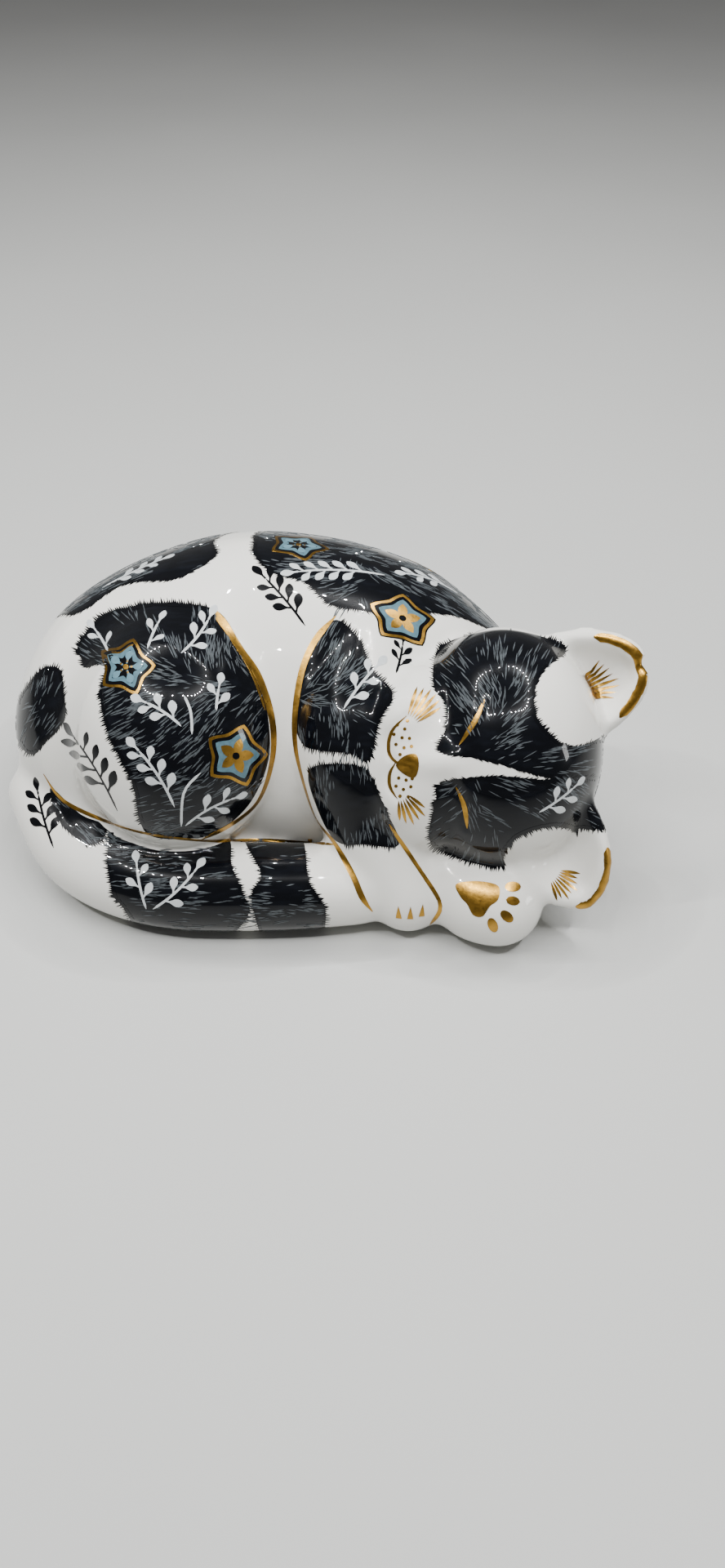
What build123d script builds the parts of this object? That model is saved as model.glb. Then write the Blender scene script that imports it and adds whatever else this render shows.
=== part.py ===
"""A sleeping cat figurine in glazed bone china, hollow cast, with a stopper in its base.

The body is a hollow casting. The head, the ears, the legs and the tail are castings of their own,
joined to it with slip along the faces where they meet. A plastic bung with a metal disc closes the
drain hole in the base, and pulls out downwards.
Units are millimetres, with X from the rump to the head, Y from the paws to the back and Z up.
"""

from build123d import *
from math import cos, radians, sin
import os

# Body casting.
body_length = 79.5
body_depth = 50.0
body_height = 40.5
wall = 4.0
floor_thickness = 6.0
foot_width = 10.5
foot_recess = 0.8

# Head casting: chin to crown, cheek to cheek, and nape to face.
head_length = 28.4
head_width = 34.6
head_thickness = 30.0
face_tilt = 36.0
muzzle_length = 19.6
muzzle_width = 27.0
muzzle_thickness = 21.0
vent_diameter = 3.0

# Ears.
ear_length = 9.6
ear_width = 12.6
ear_thickness = 4.6
ear_wall = 1.6
ear_root = 4.0

# Limbs.
thigh_length = 31.0
thigh_height = 34.6
thigh_bulge = 29.0
tail_radius = 6.4
shoulder_radius = 9.2
foreleg_radius = 5.9
paw_radius = 6.6

# Stopper and the hole that it closes.
bore_diameter = 15.0
seat_width = 2.5
bung_clearance = 0.05
flange_clearance = 0.3
bung_depth = 11.0
bung_wall = 1.6
bung_flange = 1.6
disc_rim = 1.1
disc_thickness = 0.8
disc_clearance = 0.1
base_clearance = 1.2
bung_lead = 0.8
disc_edge = 0.2
groove_pitch = 2.4
groove_width = 0.8
groove_count = 3
groove_depth = 0.35

# Each body section: its place along the length, its middle across the depth and up the height,
# and its half depth and half height. All are shares of the body's length, depth and height.
BODY_SECTIONS = [
    (0.000, 0.370, 0.346, 0.010, 0.012),
    (0.025, 0.370, 0.346, 0.180, 0.235),
    (0.101, 0.410, 0.346, 0.330, 0.432),
    (0.233, 0.460, 0.321, 0.450, 0.593),
    (0.409, 0.500, 0.321, 0.500, 0.679),
    (0.597, 0.510, 0.296, 0.490, 0.679),
    (0.761, 0.490, 0.272, 0.440, 0.610),
    (0.874, 0.470, 0.247, 0.360, 0.481),
    (0.962, 0.450, 0.222, 0.240, 0.315),
    (1.000, 0.450, 0.222, 0.020, 0.025),
]

# Each ear section: its height above the root, and its size as a share of the ear's.
EAR_SECTIONS = [
    (0.0, 1.0),
    (0.5 * ear_length, 0.74),
    (0.85 * ear_length, 0.36),
    (ear_length, 0.12),
]

# The rings that draw a limb in to its domed end, as angles up from the dome's rim.
DOME_ANGLES = (32, 56, 76)

# How far apart the circles that shape a limb are.
LIMB_PITCH = 3.6

os.makedirs("parts", exist_ok=True)


def place(along, across, up):
    """The point at these shares of the body's length, depth and height."""
    return Vector(along * body_length, across * body_depth, up * body_height)


def body_form(inset, floor):
    """The body's rounded form, made smaller all round by inset and cut flat at the floor."""
    with BuildPart() as form:
        for along, across, up, half_depth, half_height in BODY_SECTIONS:
            depth_radius = half_depth * body_depth - inset
            height_radius = half_height * body_height - inset
            if inset and min(depth_radius, height_radius) < inset:
                continue
            middle = place(along, across, up)
            with BuildSketch(Plane(origin=middle, x_dir=(0, 1, 0), z_dir=(1, 0, 0))):
                Ellipse(depth_radius, height_radius)
        loft()
        split(bisect_by=Plane.XY.offset(floor), keep=Keep.TOP)
    return form.part


def ellipsoid(plane, length, width, thickness):
    """An egg of these overall sizes along the plane's X, Y and Z, about the plane's origin."""
    with BuildPart() as form:
        Sphere(1)
        scale(by=(length / 2, width / 2, thickness / 2))
    return plane.location * form.part


def limb_form(points, radii, side):
    """A rounded limb: circles lofted along a smooth run of points, drawn in to a dome at each end.

    The radii are spread evenly along the run. Each circle starts on the limb's side, a direction
    square to its run, so that none is twisted.
    """
    with BuildLine() as spine:
        Spline(*points)
    rings = round(spine.edge().length / LIMB_PITCH)
    circles = []
    for ring in range(rings + 1):
        share = ring / rings
        step = min(int(share * (len(radii) - 1)), len(radii) - 2)
        part_way = share * (len(radii) - 1) - step
        radius = radii[step] + (radii[step + 1] - radii[step]) * part_way
        circles.append((spine.edge() @ share, radius, spine.edge() % share))
    for angle in DOME_ANGLES:
        reach = sin(radians(angle))
        share = cos(radians(angle))
        start_run = spine.edge() % 0
        end_run = spine.edge() % 1
        circles.insert(0, (points[0] - start_run * radii[0] * reach, radii[0] * share, start_run))
        circles.append((points[-1] + end_run * radii[-1] * reach, radii[-1] * share, end_run))
    with BuildPart() as form:
        for point, radius, run in circles:
            with BuildSketch(Plane(origin=point, x_dir=side.cross(run), z_dir=run)):
                Circle(radius)
        loft()
    return form.part


def ear_form(root, tip, face):
    """A cupped ear that stands from its root to its tip, with the hollow turned to the face."""
    root_plane = Plane(origin=root, x_dir=(tip - root).cross(face), z_dir=tip - root)
    cup_plane = Plane(
        origin=root + face * (ear_thickness / 2 + ear_wall) + (tip - root) * 0.25,
        x_dir=tip - root,
        z_dir=face,
    )
    cup = ellipsoid(cup_plane, ear_length * 1.5, ear_width - 2 * ear_wall, 2 * ear_thickness)
    with BuildPart() as form:
        for height, share in [(-ear_root, 1.0), *EAR_SECTIONS]:
            with BuildSketch(root_plane.offset(height)):
                Ellipse(share * ear_width / 2, share * ear_thickness / 2)
        loft()
        add(cup, mode=Mode.SUBTRACT)
    return form.part


# Rounded forms that the castings are cut from.
outer_form = body_form(0.0, 0.0)
hollow_form = body_form(wall, floor_thickness)

thigh_plane = Plane(origin=place(0.330, 0.172, 0.572), x_dir=(1, 0, 0), z_dir=(0, -1, 1))
thigh_form = ellipsoid(thigh_plane, thigh_length, thigh_height, thigh_bulge)

tail_form = limb_form(
    [
        place(0.055, 0.170, 0.247),
        place(0.142, 0.000, 0.165),
        place(0.290, -0.110, 0.150),
        place(0.490, -0.125, 0.150),
        place(0.645, -0.115, 0.148),
    ],
    [0.78 * tail_radius, 0.97 * tail_radius, tail_radius, tail_radius, 0.92 * tail_radius],
    Vector(0, 0, 1),
)

foreleg_form = limb_form(
    [
        place(0.658, 0.330, 0.700),
        place(0.643, 0.140, 0.580),
        place(0.669, 0.005, 0.346),
        place(0.738, -0.132, 0.136),
    ],
    [0.88 * shoulder_radius, shoulder_radius, 1.2 * foreleg_radius, foreleg_radius],
    Vector(1, 0, 0),
)

turned_form = limb_form(
    [place(0.774, 0.000, 0.198), place(0.850, -0.142, 0.150), place(0.894, -0.174, 0.150)],
    [0.91 * paw_radius, 0.98 * paw_radius, paw_radius],
    Vector(0, 0, 1),
)

# The head lies on its cheek beside the chest, and its face looks forward and up.
face_normal = Vector(0, -1, 0).rotate(Axis.X, -face_tilt)
head_plane = Plane(origin=place(0.903, 0.128, 0.518), x_dir=(1, 0, 0), z_dir=face_normal)
head_form = ellipsoid(head_plane, head_length, head_width, head_thickness)
head_hollow = ellipsoid(
    head_plane, head_length - 2 * wall, head_width - 2 * wall, head_thickness - 2 * wall
)


def on_head(forward, sideways, out):
    """The point at these shares of the head's length, width and thickness from its middle."""
    return head_plane.from_local_coords(
        Vector(forward * head_length, sideways * head_width, out * head_thickness)
    )


muzzle_plane = Plane(origin=on_head(-0.40, -0.03, 0.07), x_dir=(1, 0, 0), z_dir=face_normal)
muzzle_form = ellipsoid(muzzle_plane, muzzle_length, muzzle_width, muzzle_thickness)

upper_root = on_head(0.412, 0.280, 0.038)
upper_tip = upper_root + (on_head(0.697, 0.344, 0.037) - upper_root).normalized() * ear_length
upper_ear_form = ear_form(upper_root, upper_tip, face_normal)
lower_root = on_head(0.243, -0.393, 0.137)
lower_tip = lower_root + (on_head(0.426, -0.650, 0.135) - lower_root).normalized() * ear_length
lower_ear_form = ear_form(lower_root, lower_tip, face_normal)

# The stopper's place in the base, its radii, and the levels that it is built up from.
foot_middle = place(0.490, 0.480, 0.0)
stopper_middle = place(0.450, 0.470, 0.0)
counterbore_radius = bore_diameter / 2 + seat_width
flange_radius = counterbore_radius - flange_clearance
bung_radius = bore_diameter / 2 - bung_clearance
pocket_radius = flange_radius - disc_rim
flange_face = base_clearance
seat_level = base_clearance + bung_flange
seat_plane = Plane(origin=stopper_middle + Vector(0, 0, foot_recess), z_dir=(0, 0, -1))

# A small vent lets the head's hollow breathe into the body's as the castings are fired.
vent_start = head_plane.origin
vent_end = place(0.650, 0.480, 0.500)
vent_plane = Plane(origin=vent_start, z_dir=vent_end - vent_start)

with BuildPart() as vent:
    with BuildSketch(vent_plane):
        Circle(vent_diameter / 2)
    extrude(amount=(vent_end - vent_start).length)

# Body casting: the hollow shell, its foot ring and the stepped drain hole.
with BuildPart() as body_shell:
    add(outer_form)
    add(hollow_form, mode=Mode.SUBTRACT)
    with BuildSketch(Plane(origin=foot_middle)):
        Ellipse(body_length / 2 - foot_width, body_depth / 2 - foot_width)
    extrude(amount=foot_recess, mode=Mode.SUBTRACT)
    with Locations(seat_plane):
        CounterBoreHole(
            radius=bore_diameter / 2,
            counter_bore_radius=counterbore_radius,
            counter_bore_depth=seat_level - foot_recess,
            depth=floor_thickness,
        )
    add(vent.part, mode=Mode.SUBTRACT)

# Limb castings, each cut back to the faces that it is joined to.
with BuildPart() as tail:
    add(tail_form)
    add(outer_form, mode=Mode.SUBTRACT)
    split(bisect_by=Plane.XY, keep=Keep.TOP)

with BuildPart() as hind_leg:
    add(thigh_form)
    add(outer_form, mode=Mode.SUBTRACT)
    add(tail_form, mode=Mode.SUBTRACT)

with BuildPart() as foreleg:
    add(foreleg_form)
    add(outer_form, mode=Mode.SUBTRACT)
    add(tail_form, mode=Mode.SUBTRACT)
    split(bisect_by=Plane.XY, keep=Keep.TOP)

with BuildPart() as turned_foreleg:
    add(turned_form)
    add(outer_form, mode=Mode.SUBTRACT)
    add(foreleg_form, mode=Mode.SUBTRACT)
    split(bisect_by=Plane.XY, keep=Keep.TOP)

# Head casting, hollow, with the muzzle, resting on the body and the forelegs.
with BuildPart() as head:
    add(head_form)
    add(muzzle_form)
    add(outer_form, mode=Mode.SUBTRACT)
    add(foreleg_form, mode=Mode.SUBTRACT)
    add(turned_form, mode=Mode.SUBTRACT)
    add(head_hollow, mode=Mode.SUBTRACT)
    add(vent.part, mode=Mode.SUBTRACT)
    split(bisect_by=Plane.XY, keep=Keep.TOP)

with BuildPart() as upper_ear:
    add(upper_ear_form)
    add(head_form, mode=Mode.SUBTRACT)
    add(outer_form, mode=Mode.SUBTRACT)

with BuildPart() as lower_ear:
    add(lower_ear_form)
    add(head_form, mode=Mode.SUBTRACT)
    add(turned_form, mode=Mode.SUBTRACT)
    split(bisect_by=Plane.XY, keep=Keep.TOP)

# Stopper bung: a grooved cup with a flange, whose face is sunk to take the disc.
with BuildPart() as stopper_bung:
    with BuildSketch(Plane(origin=stopper_middle + Vector(0, 0, flange_face))):
        Circle(flange_radius)
    extrude(amount=bung_flange)
    with BuildSketch(Plane(origin=stopper_middle + Vector(0, 0, seat_level))):
        Circle(bung_radius)
    extrude(amount=bung_depth)
    chamfer(stopper_bung.faces().sort_by(Axis.Z)[-1].edges(), length=bung_lead)
    with BuildSketch(Plane(origin=stopper_middle + Vector(0, 0, seat_level + bung_wall))):
        Circle(bung_radius - bung_wall)
    extrude(amount=bung_depth, mode=Mode.SUBTRACT)
    with BuildSketch(Plane(origin=stopper_middle + Vector(0, 0, flange_face))):
        Circle(pocket_radius)
    extrude(amount=disc_thickness, mode=Mode.SUBTRACT)
    for groove in range(1, groove_count + 1):
        level = seat_level + groove * groove_pitch
        with BuildSketch(Plane(origin=stopper_middle + Vector(0, 0, level))):
            Circle(bung_radius)
            Circle(bung_radius - groove_depth, mode=Mode.SUBTRACT)
        extrude(amount=groove_width, mode=Mode.SUBTRACT)

# Stopper disc: a bare metal disc glued into the bung's face.
with BuildPart() as stopper_disc:
    with BuildSketch(Plane(origin=stopper_middle + Vector(0, 0, flange_face))):
        Circle(pocket_radius - disc_clearance)
    extrude(amount=disc_thickness)
    chamfer(stopper_disc.faces().sort_by(Axis.Z)[0].edges(), length=disc_edge)

# The origin lies at the middle of the footprint, so every piece is moved back by that much.
pieces = {
    "body_shell": body_shell,
    "tail": tail,
    "hind_leg": hind_leg,
    "foreleg": foreleg,
    "turned_foreleg": turned_foreleg,
    "head": head,
    "upper_ear": upper_ear,
    "lower_ear": lower_ear,
    "stopper_bung": stopper_bung,
    "stopper_disc": stopper_disc,
}
boxes = [piece.part.bounding_box() for piece in pieces.values()]
middle_x = (min(box.min.X for box in boxes) + max(box.max.X for box in boxes)) / 2
middle_y = (min(box.min.Y for box in boxes) + max(box.max.Y for box in boxes)) / 2

for name, piece in pieces.items():
    piece.part = piece.part.moved(Location((-middle_x, -middle_y, 0)))
    piece.part.label = name
    export_step(piece.part, f"parts/{name}.step")
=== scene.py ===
"""A sleeping cat figurine in glazed bone china, painted, gilded and set on a pale studio floor.

The china is one closed skin over the castings' forms. The artwork lies on it as thin transfers and
gilding: fur patches with combed edges, leaf sprays, five-petal blossoms and gold lines.
Sculpting data is in millimetres in the figurine's own frame, and the meshes are in metres.
"""

import math
import random

import bmesh
import bpy
import numpy as np
from mathutils import Matrix, Vector
from mathutils.bvhtree import BVHTree


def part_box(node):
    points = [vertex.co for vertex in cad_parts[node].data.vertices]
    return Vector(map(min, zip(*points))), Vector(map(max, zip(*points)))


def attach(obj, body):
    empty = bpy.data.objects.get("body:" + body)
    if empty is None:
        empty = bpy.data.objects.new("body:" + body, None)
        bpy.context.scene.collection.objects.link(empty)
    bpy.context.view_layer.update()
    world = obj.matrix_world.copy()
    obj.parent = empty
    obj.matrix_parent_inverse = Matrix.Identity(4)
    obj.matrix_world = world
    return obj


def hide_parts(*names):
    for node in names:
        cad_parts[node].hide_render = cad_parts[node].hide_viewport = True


bl_info = {
    "name": "Sleeping Cat Figurine",
    "version": (1, 0, 0),
    "blender": (4, 5, 0),
    "location": "View3D > Sidebar > Figurine",
    "description": "Models, paints and gilds a bone china sleeping cat round its packed frame",
    "category": "Object",
}

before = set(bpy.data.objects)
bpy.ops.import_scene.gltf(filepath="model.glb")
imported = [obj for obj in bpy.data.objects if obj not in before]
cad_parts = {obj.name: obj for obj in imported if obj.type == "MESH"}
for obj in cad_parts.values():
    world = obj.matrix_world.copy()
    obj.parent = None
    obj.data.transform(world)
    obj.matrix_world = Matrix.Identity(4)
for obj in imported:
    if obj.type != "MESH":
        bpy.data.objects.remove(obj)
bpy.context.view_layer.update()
MM = 0.001

TRUNK_LOW, TRUNK_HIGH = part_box("body_shell")
BUNG_LOW, BUNG_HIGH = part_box("stopper_bung")
CHINA_NODES = (
    "body_shell", "head", "upper_ear", "lower_ear", "hind_leg", "foreleg", "turned_foreleg", "tail",
)


# --------------------------------------------------------------------------- places and curves


def at(along, across, up):
    """The point at these shares of the trunk's length, depth and height, in metres."""
    size = TRUNK_HIGH - TRUNK_LOW
    return TRUNK_LOW + Vector((along * size.x, across * size.y, up * size.z))


def smooth_run(points, spacing):
    """A run of vectors through the given ones, eased between them and about a spacing apart."""
    points = [Vector(point) for point in points]
    run = []
    for index in range(len(points) - 1):
        before = points[max(index - 1, 0)]
        start, end = points[index], points[index + 1]
        after = points[min(index + 2, len(points) - 1)]
        steps = max(1, round((end - start).length / spacing))
        for step in range(steps):
            t = step / steps
            run.append(
                0.5
                * (
                    2 * start
                    + (end - before) * t
                    + (2 * before - 5 * start + 4 * end - after) * t * t
                    + (3 * start - before - 3 * end + after) * t * t * t
                )
            )
    run.append(points[-1])
    return run


# ------------------------------------------------------------------------------ sculpted forms

# Trunk sections: place along, middle across and up, half depth and half height, in shares.
TRUNK_SECTIONS = [
    (0.002, 0.370, 0.346, 0.030, 0.036),
    (0.025, 0.370, 0.346, 0.180, 0.235),
    (0.101, 0.410, 0.346, 0.330, 0.432),
    (0.233, 0.460, 0.321, 0.450, 0.588),
    (0.409, 0.500, 0.321, 0.500, 0.668),
    (0.597, 0.510, 0.296, 0.488, 0.668),
    (0.761, 0.490, 0.272, 0.440, 0.605),
    (0.874, 0.470, 0.247, 0.360, 0.481),
    (0.962, 0.450, 0.222, 0.240, 0.315),
    (0.998, 0.450, 0.222, 0.040, 0.050),
]

# The head's own axes: to the crown, up its side, and out of its face.
FACE_TILT = math.radians(36)
TO_CROWN = Vector((1, 0, 0))
TO_FACE = Vector((0, -math.cos(FACE_TILT), math.sin(FACE_TILT)))
TO_SIDE = TO_FACE.cross(TO_CROWN)
HEAD_MIDDLE = at(0.903, 0.128, 0.518)


def on_head(crown, side, face):
    """The point these millimetres from the head's middle, along its own axes."""
    return HEAD_MIDDLE + (TO_CROWN * crown + TO_SIDE * side + TO_FACE * face) * MM


def frame_matrix(middle, x_axis, y_axis, z_axis, radii):
    """The matrix that puts a unit ball at a place, turned and stretched."""
    turn = Matrix((x_axis, y_axis, z_axis)).transposed().to_4x4()
    return Matrix.Translation(middle) @ turn @ Matrix.Diagonal(radii).to_4x4()


# The skull, muzzle, two whisker pads and bridge of the nose: place on the head, and radii.
HEAD_LUMPS = [
    ((0, 0, 0), (14.2, 17.3, 15.0)),
    ((-11.4, -1.0, 2.1), (9.8, 13.5, 10.5)),
    ((-13.2, 4.6, 6.4), (6.0, 5.8, 5.6)),
    ((-13.2, -4.9, 6.4), (6.0, 5.8, 5.6)),
    ((-9.5, -0.2, 8.8), (7.5, 3.6, 4.6)),
]
HAUNCH_MIDDLE = at(0.330, 0.172, 0.572)
HAUNCH_RADII = Vector((15.5, 17.3, 14.5)) * MM
HAUNCH_OUT = Vector((0, -1, 1)).normalized()
HAUNCH_UP = Vector((0, 1, 1)).normalized()

# Eggs: the matrix of each rounded lump, the largest first, under the form that it belongs to.
EGGS = {
    "haunch": [frame_matrix(HAUNCH_MIDDLE, TO_CROWN, HAUNCH_UP, HAUNCH_OUT, HAUNCH_RADII)],
    "head": [
        frame_matrix(on_head(*place), TO_CROWN, TO_SIDE, TO_FACE, Vector(radii) * MM)
        for place, radii in HEAD_LUMPS
    ],
}

# Limbs: points down the middle as shares of the trunk, each with its radius in millimetres.
LIMBS = {
    "tail": [
        (0.055, 0.170, 0.247, 5.0),
        (0.142, 0.000, 0.165, 6.2),
        (0.290, -0.110, 0.150, 6.4),
        (0.490, -0.125, 0.150, 6.4),
        (0.645, -0.115, 0.148, 5.9),
    ],
    "foreleg": [
        (0.658, 0.330, 0.700, 8.1),
        (0.643, 0.140, 0.580, 9.2),
        (0.669, 0.005, 0.346, 7.1),
        (0.738, -0.132, 0.136, 5.9),
    ],
    "turned_foreleg": [
        (0.774, 0.000, 0.198, 6.0),
        (0.850, -0.142, 0.150, 6.5),
        (0.894, -0.174, 0.150, 6.7),
    ],
}


def limb_run(name):
    """Points down the middle of a limb, about a millimetre apart, each with its radius."""
    points = [(*at(*place), radius * MM) for *place, radius in LIMBS[name]]
    return [(Vector(point[:3]), point[3]) for point in smooth_run(points, MM)]


def trunk_rings():
    """The trunk's sections, eased between, as middle, half depth and half height in metres."""
    size = TRUNK_HIGH - TRUNK_LOW
    rings = []
    for along, across, up, depth, height in smooth_run(TRUNK_SECTIONS, 0.022):
        rings.append((at(along, across, up), depth * size.y, height * size.z))
    return rings


def add_trunk(bm, inset=0.0):
    """Lofts the trunk's rings, drawn in by an inset, into a closed form."""
    loops = []
    for middle, depth, height in trunk_rings():
        if min(depth, height) < 2 * inset:
            continue
        turn = Matrix(((0, 0, 1), (1, 0, 0), (0, 1, 0))).to_4x4()
        stretch = Matrix.Diagonal((depth - inset, height - inset, 1, 1))
        ring = bmesh.ops.create_circle(
            bm, segments=96, radius=1, matrix=Matrix.Translation(middle) @ turn @ stretch
        )["verts"]
        loops.append(list({edge for vert in ring for edge in vert.link_edges}))
    for first, second in zip(loops, loops[1:]):
        bmesh.ops.bridge_loops(bm, edges=first + second)
    for end in (loops[0], loops[-1]):
        bmesh.ops.contextual_create(bm, geom=end)
    bmesh.ops.recalc_face_normals(bm, faces=bm.faces[:])


def ball(subdivisions):
    """Makes a mesh of a unit ball, for placing many times."""
    bm = bmesh.new()
    bmesh.ops.create_icosphere(bm, subdivisions=subdivisions, radius=1)
    mesh = bpy.data.meshes.new("ball")
    bm.to_mesh(mesh)
    bm.free()
    return mesh


def pour(bm, part):
    """Adds one bmesh to another, and frees it."""
    mesh = bpy.data.meshes.new("part")
    part.to_mesh(mesh)
    part.free()
    bm.from_mesh(mesh)
    bpy.data.meshes.remove(mesh)


def add_copy(bm, mesh, matrix):
    """Adds a copy of a mesh, placed by a matrix."""
    copy = mesh.copy()
    copy.transform(matrix)
    bm.from_mesh(copy)
    bpy.data.meshes.remove(copy)


def add_limb(bm, name, mesh):
    """Threads balls down a limb, close enough together to read as one form."""
    for point, radius in limb_run(name):
        add_copy(bm, mesh, Matrix.Translation(point) @ Matrix.Scale(radius, 4))


# Each ear: root and tip from the head's middle along its axes, width, and how far it is cupped.
EARS = {
    "upper": {"root": (9.8, 8.9, 1.4), "tip": (18.0, 11.8, 2.2), "width": 13.2, "cup": 4.4},
    "lower": {"root": (6.8, -11.6, 4.4), "tip": (12.2, -21.7, 5.6), "width": 14.8, "cup": 5.2},
}
EAR_WALL = 2.4


def ear_axes(ear):
    """An ear's root, the way from it to the tip, and the way across the ear."""
    root, tip = on_head(*ear["root"]), on_head(*ear["tip"])
    rise = tip - root
    return root, rise, rise.normalized().cross(TO_FACE).normalized()


def add_ear(bm, ear):
    """Bends a sheet into a cupped ear with rounded sides and gives it a wall."""
    root, rise, across = ear_axes(ear)
    sheet = bmesh.ops.create_grid(bm, x_segments=16, y_segments=18, size=1)["verts"]
    for vert in sheet:
        side, up = vert.co.x, (vert.co.y + 1) / 2
        half_width = ear["width"] / 2 * MM * (1 - up**2.6) ** 0.6 + 0.2 * MM
        curl = ear["cup"] * MM * (side * side - 0.5) * (1 - 0.45 * up)
        vert.co = root + rise * (up * 1.2 - 0.2) + across * side * half_width + TO_FACE * curl
    faces = list({face for vert in sheet for face in vert.link_faces})
    bmesh.ops.recalc_face_normals(bm, faces=faces)
    bmesh.ops.solidify(bm, geom=faces, thickness=EAR_WALL * MM)


def new_object(name, bm):
    """Makes an object of a bmesh, smooth shaded, at the origin."""
    mesh = bpy.data.meshes.new(name)
    bm.to_mesh(mesh)
    bm.free()
    mesh.shade_smooth()
    thing = bpy.data.objects.new(name, mesh)
    bpy.context.scene.collection.objects.link(thing)
    return thing


def settle(thing):
    """Applies an object's modifiers to its mesh."""
    graph = bpy.context.evaluated_depsgraph_get()
    mesh = bpy.data.meshes.new_from_object(thing.evaluated_get(graph))
    thing.modifiers.clear()
    thing.data = mesh


def dress(mesh, material):
    """Gives a mesh one material."""
    mesh.materials.clear()
    mesh.materials.append(material)


def remesh(thing, voxel):
    """Knits an object's overlapping forms into one even skin."""
    knit = thing.modifiers.new("Knit", "REMESH")
    knit.mode = "VOXEL"
    knit.voxel_size = voxel
    settle(thing)


# ----------------------------------------------------------------------- the easel and the wrap

# Artwork for the front is drawn in millimetres on a sheet that stands this far from one point, across
# and up from its middle, and is carried to the china along lines that spread from that point.
EASEL_POINT = Vector((6.3, -132.9, 135.7)) * MM
EASEL_ACROSS = Vector((1, 0, 0))
EASEL_UP = Vector((0, 1, 1)).normalized()
EASEL_OUT = Vector((0, 1, -1)).normalized()
EASEL_FAR = 175.0

# Artwork for the back is drawn as a place along and an angle round this line down the trunk.
WRAP_LINE = Vector((0, 7.4, 12.0)) * MM
WRAP_REACH = 0.46


def sheet_places(points):
    """Where points in metres fall on the easel's sheet, in millimetres across and up."""
    reach = points - np.array(EASEL_POINT)
    depth = reach @ np.array(EASEL_OUT)
    across = EASEL_FAR * (reach @ np.array(EASEL_ACROSS)) / depth
    up = EASEL_FAR * (reach @ np.array(EASEL_UP)) / depth
    return np.stack((across, up), axis=1)


def wrap_places(points):
    """Where points in metres fall on the wrap, in millimetres along and round the trunk."""
    angle = np.degrees(np.arctan2(points[:, 2] - WRAP_LINE.z, WRAP_LINE.y - points[:, 1])) % 360
    return np.stack((points[:, 0] / MM, angle * WRAP_REACH), axis=1)


class Surface:
    """The finished china, asked for the nearest place on it or the place under a drawing."""

    def __init__(self):
        mesh = bpy.data.objects["china_skin"].data
        self.tree = BVHTree.FromPolygons(
            [vert.co for vert in mesh.vertices], [face.vertices[:] for face in mesh.polygons]
        )

    def touch(self, point):
        """The nearest place on the china and its outward direction."""
        return self.tree.find_nearest(point)[:2]

    def sheet(self, across, up):
        """The place on the china under a point of the easel's sheet."""
        aim = EASEL_OUT * EASEL_FAR + EASEL_ACROSS * across + EASEL_UP * up
        place, normal = self.tree.ray_cast(EASEL_POINT, aim)[:2]
        if place is None:
            place, normal = self.touch(EASEL_POINT + aim * MM)
        return place, normal

    def back(self, along, angle):
        """The place on the china at a length and an angle round the trunk."""
        turn = math.radians(angle)
        out = Vector((0, -math.cos(turn), math.sin(turn)))
        middle = Vector((along * MM, WRAP_LINE.y, WRAP_LINE.z))
        place, normal = self.tree.ray_cast(middle + out * 0.08, -out)[:2]
        if place is None:
            place, normal = self.touch(middle + out * 0.02)
        return place, normal

    def motif(self, kind, across, up, angle):
        """A way to lay a motif down: gives the place on the china under each of its points."""
        turn = math.radians(angle)
        ahead, aside = math.cos(turn), math.sin(turn)
        if kind == "near":
            middle, normal = self.touch(Vector(across) * MM)
            level = Vector((0, 0, 1)).cross(normal).normalized()
            rise = normal.cross(level)

            def press(x, y):
                flat = level * (x * ahead - y * aside) + rise * (x * aside + y * ahead)
                return self.touch(middle + flat * MM)

            return press
        find = self.sheet if kind == "sheet" else self.back
        stretch = 1 if kind == "sheet" else WRAP_REACH

        def lay(x, y):
            return find(across + x * ahead - y * aside, up + (x * aside + y * ahead) / stretch)

        return lay


# ------------------------------------------------------------------------------- fur markings

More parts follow.
